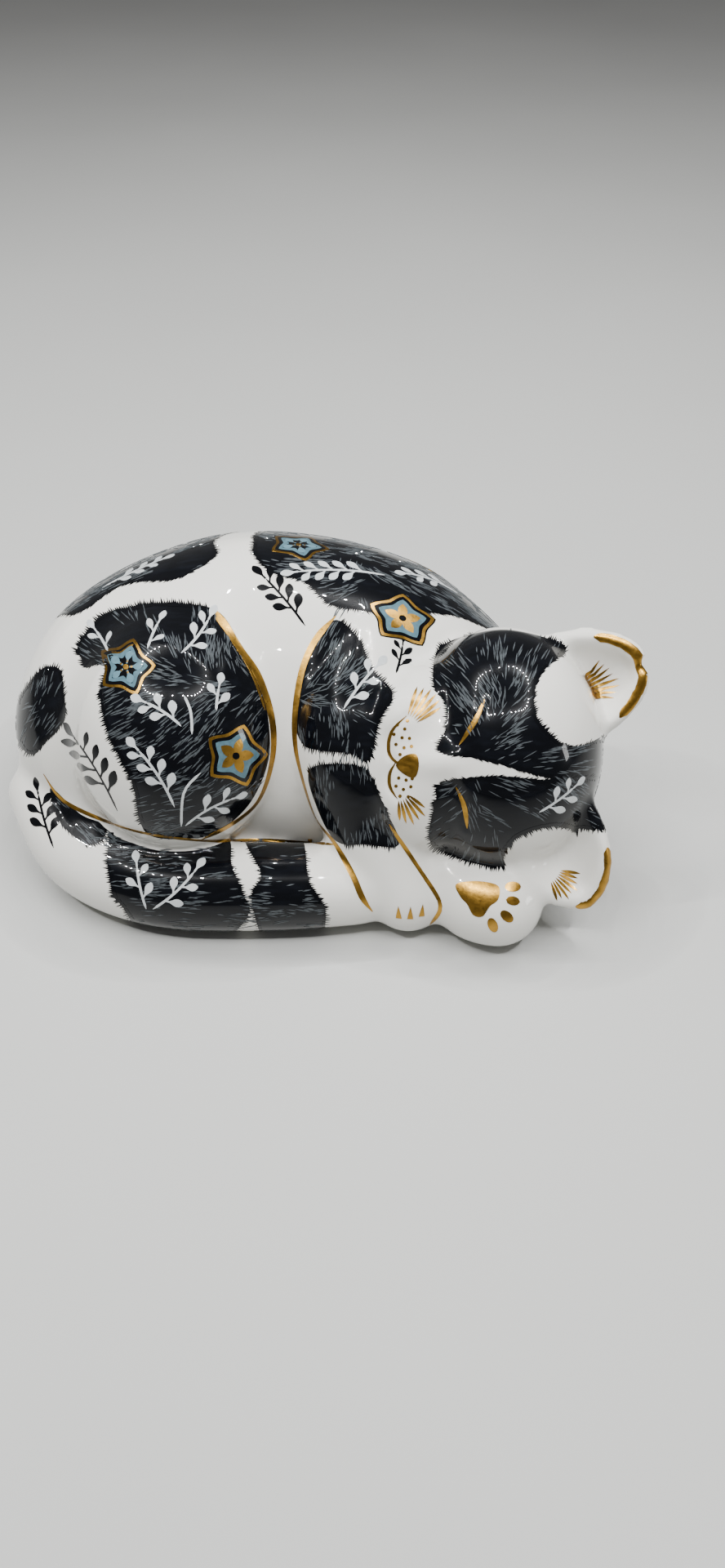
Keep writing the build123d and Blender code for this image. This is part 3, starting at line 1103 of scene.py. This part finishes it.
def colour_property(name, description, colour):
    """A colour that the panel shows."""
    return bpy.props.FloatVectorProperty(
        name=name, description=description, subtype="COLOR", size=4, min=0, max=1,
        default=(*colour, 1),
    )


def length_property(name, description, low, high, length):
    """A length in metres that the panel shows."""
    return bpy.props.FloatProperty(
        name=name, description=description, subtype="DISTANCE", unit="LENGTH", precision=5,
        min=low, max=high, default=length,
    )


class FigurineLook(bpy.types.PropertyGroup):
    """Sizes and colours of the painted china."""

    china_colour: colour_property(
        "China", "Colour of the white glazed china", (0.74, 0.73, 0.685)
    )
    enamel_colour: colour_property(
        "Fur Enamel", "Colour of the dark fur patches", (0.0018, 0.0022, 0.0034)
    )
    streak_colour: colour_property(
        "Hair Streaks", "Colour of the fine hairs in the dark patches", (0.078, 0.089, 0.097)
    )
    spray_colour: colour_property(
        "Pale Sprays", "Colour of the leaf sprays on the dark patches", (0.54, 0.57, 0.58)
    )
    petal_colour: colour_property("Petals", "Colour of the blossoms' petals", (0.09, 0.17, 0.21))
    gold_colour: colour_property("Gold", "Colour of the burnished gilding", (0.46, 0.255, 0.045))
    skin_voxel: length_property(
        "Skin Fineness", "Edge length of the china's faces", 0.0003, 0.002, 0.00049
    )
    wall: length_property(
        "Wall", "Thickness of the china round the trunk's hollow", 0.002, 0.008, 0.0048
    )
    foot_width: length_property(
        "Foot Ring", "Width of the ring that the figurine stands on", 0.004, 0.014, 0.0105
    )
    hair_spacing: length_property(
        "Hair Spacing", "Distance between combed hair tips round a patch", 0.0002, 0.001, 0.00023
    )


# ------------------------------------------------------------------------------------- operators


def cut(thing, cutter):
    """Takes one closed form out of another."""
    opening = thing.modifiers.new("Cut", "BOOLEAN")
    opening.operation = "DIFFERENCE"
    opening.solver = "MANIFOLD"
    opening.object = cutter
    settle(thing)
    bpy.data.objects.remove(cutter)


def groove(points, runs, surface, depth, width):
    """How far each point sinks towards painted lines, fading across a width, in metres."""
    sink = np.zeros(len(points))
    for run in runs:
        gap = np.full(len(points), 1.0)
        for spot in sheet_line(surface, run, 0.4):
            gap = np.minimum(gap, np.linalg.norm(points - np.array(spot), axis=1))
        sink = np.maximum(sink, depth * MM * np.exp(-((gap / (width * MM)) ** 2)))
    return sink


def read_skin(mesh):
    """A mesh's vertex places and outward directions as arrays."""
    points = np.empty(len(mesh.vertices) * 3)
    normals = np.empty(len(mesh.vertices) * 3)
    mesh.vertices.foreach_get("co", points)
    mesh.vertex_normals.foreach_get("vector", normals)
    return points.reshape(-1, 3), normals.reshape(-1, 3)


# Below this height in metres the skin is foot and bears no fur; points this close to the ground are
# set on it.
FOOT = 0.0004
GROUND = 0.00012
# Rounds of easing over the whole skin, and over the haunch's soft edge.
SKIN_ROUNDS = 14
HAUNCH_ROUNDS = 170
# Depth and width of the sunk eyelids and mouth, in millimetres.
FACE_GROOVE = (0.22, 0.55)


def cut_below(bm, height):
    """Cuts away all that lies below a height, and caps what is left."""
    everything = bm.verts[:] + bm.edges[:] + bm.faces[:]
    bmesh.ops.bisect_plane(
        bm, geom=everything, plane_co=(0, 0, height), plane_no=(0, 0, 1), clear_inner=True,
        dist=1e-6,
    )
    bmesh.ops.holes_fill(bm, edges=[edge for edge in bm.edges if edge.is_boundary])


def ease(bm, verts, rounds):
    """Draws vertices half way to their neighbours' middle, some rounds over."""
    for _ in range(rounds):
        bmesh.ops.smooth_vert(
            bm, verts=verts, factor=0.5, use_axis_x=True, use_axis_y=True, use_axis_z=True
        )


class FIGURINE_OT_china(bpy.types.Operator):
    """Sculpt the china: knit the trunk, head, limbs and ears into one skin, and hollow it"""

    bl_idname = "figurine.china"
    bl_label = "Sculpt China"

    def execute(self, context):
        look = context.scene.figurine_look
        bm = bmesh.new()
        add_trunk(bm)
        large, small = ball(5), ball(4)
        for eggs in EGGS.values():
            for matrix in eggs:
                add_copy(bm, large, matrix)
        for name in LIMBS:
            add_limb(bm, name, small)
        for ear in EARS.values():
            lobe = bmesh.new()
            add_ear(lobe, ear)
            pour(bm, lobe)
        skin = new_object("china_skin", bm)
        remesh(skin, look.skin_voxel)

        bm = bmesh.new()
        bm.from_mesh(skin.data)
        cut_below(bm, 0)
        bmesh.ops.triangulate(bm, faces=[face for face in bm.faces if len(face.verts) > 4])
        bm.to_mesh(skin.data)
        bm.free()
        remesh(skin, look.skin_voxel)

        bm = bmesh.new()
        bm.from_mesh(skin.data)
        ease(bm, bm.verts, SKIN_ROUNDS)
        ease(bm, self.haunch_edge(bm), HAUNCH_ROUNDS)
        lowest = min(vert.co.z for vert in bm.verts)
        for vert in bm.verts:
            vert.co.z = 0 if vert.co.z < lowest + GROUND else vert.co.z - lowest
        bm.to_mesh(skin.data)
        bm.free()

        surface = Surface()
        points, normals = read_skin(skin.data)
        lines = [run for run, _ in FACE_LINES]
        points = points - normals * groove(points, lines, surface, *FACE_GROOVE)[:, None]
        skin.data.vertices.foreach_set("co", points.ravel())
        skin.data.update()

        self.hollow(skin, look)
        points, normals = read_skin(skin.data)
        depth = fur_depth(points, normals)
        depth[points[:, 2] < FOOT] = OUTSIDE
        attribute = skin.data.attributes.new("fur_depth", "FLOAT", "POINT")
        attribute.data.foreach_set("value", depth)
        skin.data.shade_smooth()
        dress(skin.data, china_material(look))
        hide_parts(*CHINA_NODES)
        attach(skin, "figurine")
        return {"FINISHED"}

    def haunch_edge(self, bm):
        """The vertices where the haunch's upper and outer sides run softly into the back."""
        bm.verts.ensure_lookup_table()
        points = np.array([vert.co for vert in bm.verts])
        gaps, sheet = form_gaps(points), sheet_places(points)
        reach = sheet - np.array((-24.0, 8.0))
        way = np.degrees(np.arctan2(reach[:, 1], reach[:, 0])) % 360
        joined = (np.abs(gaps["haunch"]) < 4.5) & (np.abs(gaps["trunk"]) < 4.5)
        return [bm.verts[index] for index in np.nonzero(joined & (way > 70) & (way < 240))[0]]

    def hollow(self, skin, look):
        """Cuts the hollow, the recess in the foot and the stepped drain hole."""
        floor, recess = 0.006, 0.0008
        bm = bmesh.new()
        add_trunk(bm, look.wall)
        cut_below(bm, floor)
        bmesh.ops.triangulate(bm, faces=bm.faces[:])
        bmesh.ops.recalc_face_normals(bm, faces=bm.faces[:])
        cut(skin, new_object("hollow", bm))

        size = TRUNK_HIGH - TRUNK_LOW
        bm = bmesh.new()
        middle = at(0.490, 0.480, 0)
        stretch = Matrix.Diagonal(
            (size.x / 2 - look.foot_width, size.y / 2 - look.foot_width, 1, 1)
        )
        bmesh.ops.create_cone(
            bm, cap_ends=True, segments=128, radius1=1, radius2=1, depth=2 * recess,
            matrix=Matrix.Translation(middle) @ stretch,
        )
        cut(skin, new_object("recess", bm))

        bung = (BUNG_LOW + BUNG_HIGH) / 2
        flange = (BUNG_HIGH.x - BUNG_LOW.x) / 2
        counterbore, bore = flange + 0.0003, flange - 0.0022
        under, step, top = -0.001, 0.0028, 0.0075
        outline = [
            (0, under), (counterbore, under), (counterbore, step), (bore, step), (bore, top),
            (0, top),
        ]
        bm = bmesh.new()
        profile = [bm.verts.new((radius, 0, height)) for radius, height in outline]
        edges = [bm.edges.new(pair) for pair in zip(profile, profile[1:])]
        bmesh.ops.spin(
            bm, geom=profile + edges, axis=(0, 0, 1), cent=(0, 0, 0), dvec=(0, 0, 0),
            angle=math.tau, steps=96, use_merge=True,
        )
        bmesh.ops.remove_doubles(bm, verts=bm.verts, dist=1e-6)
        bmesh.ops.translate(bm, verts=bm.verts, vec=(bung.x, bung.y, 0))
        bmesh.ops.recalc_face_normals(bm, faces=bm.faces[:])
        cut(skin, new_object("drain", bm))


def hair_way(guides, across, up):
    """The way the hair lies at a place, blended from the nearest guides, in radians."""
    x = y = 0.0
    for guide_x, guide_y, angle in guides:
        weight = 1 / (0.5 + (across - guide_x) ** 2 + (up - guide_y) ** 2)
        x += weight * math.cos(math.radians(angle))
        y += weight * math.sin(math.radians(angle))
    return math.atan2(y, x)


# Widths of a hair tip and of a pale hair, in millimetres.
TIP_WIDTH = (0.32, 0.5)
STREAK_WIDTH = (0.09, 0.21)
# An edge of the skin that drops past this depth crosses a crease and bears no tips, in millimetres.
DEEP_STEP = -1.5
# No tips are combed this near a gold line, in millimetres.
GOLD_GAP = 1.1
# Area of a patch's box, in square millimetres, that each cluster of pale hairs stands for.
CLUSTER_AREA = 5.5


class FIGURINE_OT_fur(bpy.types.Operator):
    """Comb the fur: pointed hair tips round the dark patches and fine pale hairs in them"""

    bl_idname = "figurine.fur"
    bl_label = "Comb Fur"

    def execute(self, context):
        look = context.scene.figurine_look
        rng = random.Random(11)
        surface = Surface()
        mesh = bpy.data.objects["china_skin"].data
        depth = np.empty(len(mesh.vertices))
        mesh.attributes["fur_depth"].data.foreach_get("value", depth)
        corners = [face.vertices[:] for face in mesh.polygons]

        def fur_at(place):
            face = surface.tree.find_nearest(place)[2]
            return float(np.mean(depth[list(corners[face])]))

        tips, streaks = [], []
        drawn = [("sheet", patch) for patch in FUR.values()]
        drawn += [("back", patch) for patch in BACK_FUR.values()]
        for kind, patch in drawn:
            stretch = WRAP_REACH if kind == "back" else 1.0
            find = surface.back if kind == "back" else surface.sheet
            outline = [(x, y * stretch) for x, y in patch["outline"]]
            guides = [(x, y * stretch, angle) for x, y, angle in patch["flow"]]
            rim = closed_run(outline, 0.3)

            def stroke(x, y, way, stations):
                return [
                    find(x + math.cos(way) * far, (y + math.sin(way) * far) / stretch)[0]
                    for far in stations
                ]

            spacing = look.hair_spacing / MM
            tips += self.comb_rim(rim, guides, stroke, fur_at, spacing, kind == "sheet", rng)
            streaks += self.comb_inside(rim, guides, stroke, fur_at, rng)
        self.comb_far_side(surface, mesh, depth, rng, tips, streaks)
        for name, strokes, lift, shape, material in (
            ("fur_tips", tips, 0.035, hair, enamel_material("fur_enamel", look.enamel_colour, 0.3)),
            ("fur_streaks", streaks, 0.045, lash,
             enamel_material("streak_enamel", look.streak_colour, 0.5)),
        ):
            bm = bmesh.new()
            paint(bm, surface, strokes, 1, 3, lift, shape)
            lay_transfer(name, bm, 0.06, material)
        return {"FINISHED"}

    def comb_rim(self, rim, guides, stroke, fur_at, spacing, on_sheet, rng):
        """Combs tips out of a patch's rim, leaning the way the hair lies, clear of the gold."""
        gold_points = [
            (point.x, point.y)
            for run, _ in GOLD_LINES
            for point in smooth_run([(x, y, 0) for x, y in run], 0.6)
        ]
        after_x, after_y = np.roll(rim[:, 0], -1), np.roll(rim[:, 1], -1)
        hand = 1 if np.sum(rim[:, 0] * after_y - after_x * rim[:, 1]) > 0 else -1
        tips = []
        walked = 0.0
        for index, here in enumerate(rim):
            span = rim[(index + 1) % len(rim)] - here
            walked += float(np.hypot(*span))
            if walked < spacing:
                continue
            walked = 0.0
            if on_sheet and any(
                math.hypot(here[0] - x, here[1] - y) < GOLD_GAP for x, y in gold_points
            ):
                continue
            out = math.atan2(-hand * span[0], hand * span[1])
            turn = (hair_way(guides, *here) - out + math.pi) % math.tau - math.pi
            way = out + max(-1.0, min(1.0, turn * 0.7)) + rng.uniform(-0.22, 0.22)
            length = rng.uniform(0.25, 0.85)
            spots = stroke(*here, way, (-0.5, length * 0.35, length))
            at_edge = abs(fur_at(spots[0]) - 0.4) < 0.8
            if at_edge and (spots[2] - spots[0]).length < 3.5 * MM:
                tips.append((spots, rng.uniform(*TIP_WIDTH)))
        return tips

    def comb_inside(self, rim, guides, stroke, fur_at, rng):
        """Scatters clusters of pale hairs over a patch."""
        low, high = rim.min(axis=0), rim.max(axis=0)
        streaks = []
        for _ in range(int((high[0] - low[0]) * (high[1] - low[1]) / CLUSTER_AREA)):
            heart = (rng.uniform(low[0], high[0]), rng.uniform(low[1], high[1]))
            if inside_by(rim, np.array([heart]))[0] < 0.1:
                continue
            way = hair_way(guides, *heart) + rng.uniform(-0.15, 0.15)
            for _ in range(rng.randint(4, 11)):
                side, shift = rng.gauss(0, 0.7), rng.gauss(0, 1.0)
                x = heart[0] + math.cos(way) * shift - math.sin(way) * side
                y = heart[1] + math.sin(way) * shift + math.cos(way) * side
                length = rng.uniform(0.8, 2.5)
                turn = way + rng.uniform(-0.12, 0.12)
                spots = stroke(x, y, turn, (0, length / 2, length))
                inside = min(fur_at(spots[0]), fur_at(spots[2])) > -0.25
                if inside and (spots[2] - spots[0]).length < 4 * MM:
                    streaks.append((spots, rng.uniform(*STREAK_WIDTH)))
        return streaks

    def comb_far_side(self, surface, mesh, depth, rng, tips, streaks):
        """Combs the head, legs and tail where they turn away from the drawings."""
        points, normals = read_skin(mesh)
        gaps = form_gaps(points)
        limbs = np.min([gaps[name] for name in gaps if name != "trunk"], axis=0) < gaps["trunk"]
        facing = facing_easel(points, normals)
        ears = np.min([gaps[name + "_ear"] for name in EARS], axis=0)
        at_ear = (np.abs(ears - np.abs(gaps["head"])) < 2.6) & (facing >= 0.3)
        far = limbs & (facing < 0.14) & (points[:, 2] > MM)
        lie = Vector((0.4, 0.8, -0.45))

        def along_skin(way, normal):
            return (way - normal * way.dot(normal)).normalized()

        def stroke(start, way, length, width):
            run = [start]
            for _ in range(2):
                place, normal = surface.touch(run[-1] + way * length / 2 * MM)
                way = along_skin(way, normal)
                run.append(place)
            return run, width

        for index in np.nonzero(far & (depth > 0.5))[0]:
            if rng.random() < 0.3:
                start, normal = Vector(points[index]), Vector(normals[index])
                jitter = Vector((rng.gauss(0, 0.2), rng.gauss(0, 0.2), rng.gauss(0, 0.2)))
                way = along_skin(lie + jitter, normal)
                length = rng.uniform(0.8, 2.3)
                streaks.append(stroke(start, way, length, rng.uniform(*STREAK_WIDTH)))
        edges = np.empty(len(mesh.edges) * 2, dtype=int)
        mesh.edges.foreach_get("vertices", edges)
        edges = edges.reshape(-1, 2)
        crossing = depth[edges[:, 0]] * depth[edges[:, 1]] < 0
        crossing &= (far | at_ear)[edges[:, 0]]
        for first, second in edges[crossing]:
            inner, outer = (first, second) if depth[first] > 0 else (second, first)
            if depth[outer] < DEEP_STEP:
                continue
            share = depth[inner] / (depth[inner] - depth[outer])
            start = Vector(points[inner]).lerp(Vector(points[outer]), float(share))
            out = (Vector(points[outer]) - Vector(points[inner])).normalized()
            normal = Vector(normals[inner])
            for _ in range(2):
                side = normal.cross(out) * rng.uniform(-0.3, 0.3)
                way = along_skin(out + side + lie * rng.uniform(0.1, 0.5), normal)
                root = start - way * 0.4 * MM + side * 0.5 * MM
                tips.append(stroke(root, way, rng.uniform(0.65, 1.2), rng.uniform(*TIP_WIDTH)))


class FIGURINE_OT_sprays(bpy.types.Operator):
    """Paint the leaf sprays, pale on the dark patches and dark on the white china"""

    bl_idname = "figurine.sprays"
    bl_label = "Paint Leaf Sprays"

    def execute(self, context):
        look = context.scene.figurine_look
        sprays(
            "sprays_pale", PALE_SPRAYS, PALE_STEMS, 0.065,
            enamel_material("pale_enamel", look.spray_colour, 0.12),
        )
        sprays(
            "sprays_dark", DARK_SPRAYS, [], 0.045,
            enamel_material("dark_enamel", look.enamel_colour, 0.3),
        )
        return {"FINISHED"}


class FIGURINE_OT_blossoms(bpy.types.Operator):
    """Paint the five-petal blossoms in their gold, dark and blue layers"""

    bl_idname = "figurine.blossoms"
    bl_label = "Paint Blossoms"

    def execute(self, context):
        look = context.scene.figurine_look
        surface = Surface()
        layers = {colour: bmesh.new() for colour in ("gold", "dark", "blue", "pale")}
        for kind, across, up, angle, radius, style in BLOSSOMS:
            lay = surface.motif(kind, across, up, angle)
            for colour, share, pinch, lift in BLOSSOM_LAYERS[style]:
                rosette(layers[colour], lay, radius * share, pinch, lift)
            if style == "star":
                strokes = petals(lay, radius * 0.12, radius * 0.56, radius * 0.25)
                paint(layers["pale"], surface, strokes, 2, 6, 0.12, leaf)
                rosette(layers["gold"], lay, radius * 0.09, 0, 0.135, 12)
                strokes = petals(lay, radius * 0.14, radius * 0.25, 0.3)
                paint(layers["gold"], surface, strokes, 1, 2, 0.13, lash)
            else:
                strokes = petals(lay, 0.02, radius * 0.55, radius * 0.30)
                paint(layers["gold"], surface, strokes, 2, 6, 0.11, lash)
                rosette(layers["dark"], lay, radius * 0.11, 0, 0.135, 12)
        paler = shade(look.petal_colour, 1.25)
        materials = {
            "gold": gold_material(look),
            "dark": enamel_material("outline_enamel", look.enamel_colour, 0.3),
            "blue": enamel_material("petal_enamel", look.petal_colour, 0.3),
            "pale": enamel_material("inner_enamel", paler, 0.2),
        }
        for colour, material in materials.items():
            lay_transfer("blossom_" + colour, layers[colour], 0.03, material)
        return {"FINISHED"}


class FIGURINE_OT_gilding(bpy.types.Operator):
    """Gild the outlines, the sleeping face, the ears and the paws"""

    bl_idname = "figurine.gilding"
    bl_label = "Lay Gilding"

    def execute(self, context):
        look = context.scene.figurine_look
        rng = random.Random(5)
        surface = Surface()
        bm = bmesh.new()
        for points, width in GOLD_LINES:
            run = sheet_line(surface, points)
            paint(bm, surface, [(run, width)], 2, len(run), 0.05, line, wrap=True)
        for points, width in FACE_LINES:
            run = sheet_line(surface, points, 0.5)
            paint(bm, surface, [(run, width)], 2, len(run), 0.06, lash, wrap=True)
        for name, *ends_and_reach in GILT_EARS:
            run = ear_rim(surface, EARS[name], *ends_and_reach)
            paint(bm, surface, [(run, GILT_WIDTH)], 4, len(run), 0.05, line, wrap=True)
        strokes = []
        for kind, across, up, angle, length, count, fan in WHISKERS:
            lay = surface.motif(kind, across, up, angle)
            for index in range(count):
                share = index - (count - 1) / 2
                turn = math.radians(share * fan)
                reach = length * (1 - 0.02 * share * share) * rng.uniform(0.85, 1.05)
                run = []
                for far in (0.1, 0.5, 1.0):
                    x, y = reach * far * math.cos(turn), reach * far * math.sin(turn)
                    run.append(lay(x, y + share * 0.28)[0])
                strokes.append((run, WHISKER_WIDTH))
        paint(bm, surface, strokes, 1, 6, 0.05, lash)
        claws = []
        for across, up, angle in CLAWS:
            lay = surface.motif("sheet", across, up, angle)
            claws.append(([lay(far, 0)[0] for far in (0, 0.9, 1.8)], 0.85))
        paint(bm, surface, claws, 2, 4, 0.05, hair)
        for across, up in DOTS:
            rosette(bm, surface.motif("sheet", across, up, 0), DOT_RADIUS, 0, 0.05, 10)
        for across, up, angle, radius in TOES:
            lean = math.radians(angle)
            ahead, aside = math.cos(lean), math.sin(lean)
            outline = []
            for index in range(8):
                way = index * math.tau / 8
                x, y = 1.25 * radius * math.cos(way), 0.8 * radius * math.sin(way)
                outline.append((across + x * ahead - y * aside, up + x * aside + y * ahead))
            sheet_shape(bm, surface, outline, 0.06)
        sheet_shape(bm, surface, PAD, 0.06)
        sheet_shape(bm, surface, NOSE, 0.07)
        lay_transfer("gilding", bm, 0.06, gold_material(look))
        return {"FINISHED"}


class FIGURINE_OT_stopper(bpy.types.Operator):
    """Finish the stopper: moulded plastic for the bung and brushed brass for its disc"""

    bl_idname = "figurine.stopper"
    bl_label = "Finish Stopper"

    def execute(self, context):
        plastic, nodes, links, shader = fresh_material("moulded_plastic")
        cloud = object_noise(nodes, links, 600, 3)
        tint = ramp(
            nodes, links, cloud, [(0.3, (0.60, 0.59, 0.55, 1)), (0.7, (0.70, 0.69, 0.65, 1))]
        )
        links.new(tint, shader.inputs["Base Color"])
        tune(shader, {"Roughness": 0.45})
        bump(nodes, links, object_noise(nodes, links, 2500, 2), 0.1, 0.0001, shader)
        brass, nodes, links, shader = fresh_material("brushed_brass")
        brushed = object_noise(nodes, links, 900, 4, (1, 14, 1))
        tint = ramp(
            nodes, links, brushed, [(0.35, (0.52, 0.36, 0.13, 1)), (0.65, (0.72, 0.52, 0.22, 1))]
        )
        links.new(tint, shader.inputs["Base Color"])
        tune(shader, {"Metallic": 1.0, "Roughness": 0.3})
        bump(nodes, links, brushed, 0.15, 0.0001, shader)
        for name, material in (("stopper_bung", plastic), ("stopper_disc", brass)):
            dress(bpy.data.objects[name].data, material)
        return {"FINISHED"}


# The floor's radius, and the distances from the middle over which painted shade darkens it, where the
# lamps' light falls off, and then over which it fades to the pale skyline, in metres.
FLOOR_RADIUS = 9
PAINTED_SHADE_SPAN = {"From Min": -0.12, "From Max": 0.55}
SKYLINE = {"From Min": 0.6, "From Max": 2.4}

# The ring lamp: number of small lamps, half length and half depth, height, size in metres and watts.
RING_COUNT = 40
RING_REACH = (0.215, 0.165)
RING_HEIGHT = 0.42
RING_SIZE = 0.004
RING_POWER = 0.172


class FIGURINE_OT_studio(bpy.types.Operator):
    """Set the studio: a pale floor, soft air, a lamp ring overhead, a window and the camera"""

    bl_idname = "figurine.studio"
    bl_label = "Set Studio"

    def execute(self, context):
        scene = context.scene
        bm = bmesh.new()
        bmesh.ops.create_circle(bm, cap_ends=True, segments=96, radius=FLOOR_RADIUS)
        floor = new_object("studio_floor", bm)
        dress(floor.data, self.paper())

        for index in range(RING_COUNT):
            way = index * math.tau / RING_COUNT
            x, y = (
                reach * math.copysign(abs(turn) ** 0.6, turn)
                for reach, turn in zip(RING_REACH, (math.cos(way), math.sin(way)))
            )
            place = (x - 0.02, y, RING_HEIGHT)
            self.lamp(f"ring_lamp_{index:02d}", place, (RING_SIZE, RING_SIZE), RING_POWER)
        self.lamp("window", (0.95, -0.30, 0.20), (0.09, 0.20), 0.9)

        world = bpy.data.worlds.new("studio_air")
        world.use_nodes = True
        air = world.node_tree.nodes["Background"]
        tune(air, {"Color": (1.0, 0.995, 0.975, 1), "Strength": 0.18})
        scene.world = world

        lens = bpy.data.cameras.new("easel_camera")
        lens.lens = 26.98
        lens.sensor_width = 36
        lens.clip_start = 0.01
        camera = bpy.data.objects.new("easel_camera", lens)
        scene.collection.objects.link(camera)
        camera.location = EASEL_POINT
        camera.rotation_euler = EASEL_OUT.to_track_quat("-Z", "Y").to_euler()
        scene.camera = camera
        return {"FINISHED"}

    def paper(self):
        """Pale paper with painted shade, darker away from the middle, pale again far off, and clear
        from below.
        """
        paper, nodes, links, shader = fresh_material("pale_paper_painted_shade")
        cloud = object_noise(nodes, links, 6, 3)
        # Lit and shaded copies of the paper: the darker one is painted shade for the floor away from
        # the middle.
        near = ramp(
            nodes, links, cloud, [(0.3, (0.475, 0.48, 0.465, 1)), (0.7, (0.51, 0.515, 0.50, 1))]
        )
        far = ramp(
            nodes, links, cloud, [(0.3, (0.20, 0.20, 0.196, 1)), (0.7, (0.225, 0.225, 0.22, 1))]
        )
        place = nodes.new("ShaderNodeTexCoord")
        reach = nodes.new("ShaderNodeVectorMath")
        reach.operation = "LENGTH"
        links.new(place.outputs["Object"], reach.inputs[0])
        # Painted shade: the paper goes from the lit copy to the shaded one with distance from the
        # middle, as the lamps' light falls off.
        distance = spread(nodes, links, reach.outputs["Value"], PAINTED_SHADE_SPAN, smooth=True)
        skyline = spread(nodes, links, reach.outputs["Value"], SKYLINE, smooth=True)
        ground = mixed(nodes, links, distance, near, far)
        faded = mixed(nodes, links, skyline, ground, (0.93, 0.94, 0.95, 1))
        links.new(faded, shader.inputs["Base Color"])
        tune(shader, {"Roughness": 0.6})
        clear = nodes.new("ShaderNodeBsdfTransparent")
        side = nodes.new("ShaderNodeNewGeometry")
        either = nodes.new("ShaderNodeMixShader")
        links.new(side.outputs["Backfacing"], either.inputs["Fac"])
        links.new(shader.outputs["BSDF"], either.inputs[1])
        links.new(clear.outputs["BSDF"], either.inputs[2])
        links.new(either.outputs["Shader"], nodes["Material Output"].inputs["Surface"])
        return paper

    def lamp(self, name, place, size, power):
        """Adds a rectangular lamp: the ring's shine straight down, others at the figurine."""
        light = bpy.data.lights.new(name, "AREA")
        light.shape = "RECTANGLE"
        light.size, light.size_y = size
        light.energy = power
        thing = bpy.data.objects.new(name, light)
        bpy.context.scene.collection.objects.link(thing)
        thing.location = place
        aim = Vector((0, 0, -1)) if "ring" in name else Vector((0, 0, 0.02)) - Vector(place)
        thing.rotation_euler = aim.to_track_quat("-Z", "Y").to_euler()


# ----------------------------------------------------------------------------------------- panel

OPERATORS = (
    FIGURINE_OT_china,
    FIGURINE_OT_fur,
    FIGURINE_OT_sprays,
    FIGURINE_OT_blossoms,
    FIGURINE_OT_gilding,
    FIGURINE_OT_stopper,
    FIGURINE_OT_studio,
)


class FIGURINE_PT_panel(bpy.types.Panel):
    """Lists the steps that make the figurine"""

    bl_idname = "FIGURINE_PT_panel"
    bl_label = "Sleeping Cat Figurine"
    bl_space_type = "VIEW_3D"
    bl_region_type = "UI"
    bl_category = "Figurine"

    def draw(self, context):
        look = context.scene.figurine_look
        for name in look.bl_rna.properties.keys():
            if name not in ("rna_type", "name"):
                self.layout.prop(look, name)
        for operator in OPERATORS:
            self.layout.operator(operator.bl_idname)


CLASSES = (FigurineLook, *OPERATORS, FIGURINE_PT_panel)


def register():
    for item in CLASSES:
        bpy.utils.register_class(item)
    bpy.types.Scene.figurine_look = bpy.props.PointerProperty(type=FigurineLook)


def unregister():
    del bpy.types.Scene.figurine_look
    for item in reversed(CLASSES):
        bpy.utils.unregister_class(item)


def main():
    """Makes every piece in order."""
    register()
    bpy.ops.figurine.china()
    bpy.ops.figurine.fur()
    bpy.ops.figurine.sprays()
    bpy.ops.figurine.blossoms()
    bpy.ops.figurine.gilding()
    bpy.ops.figurine.stopper()
    bpy.ops.figurine.studio()


if __name__ == "__main__":
    main()
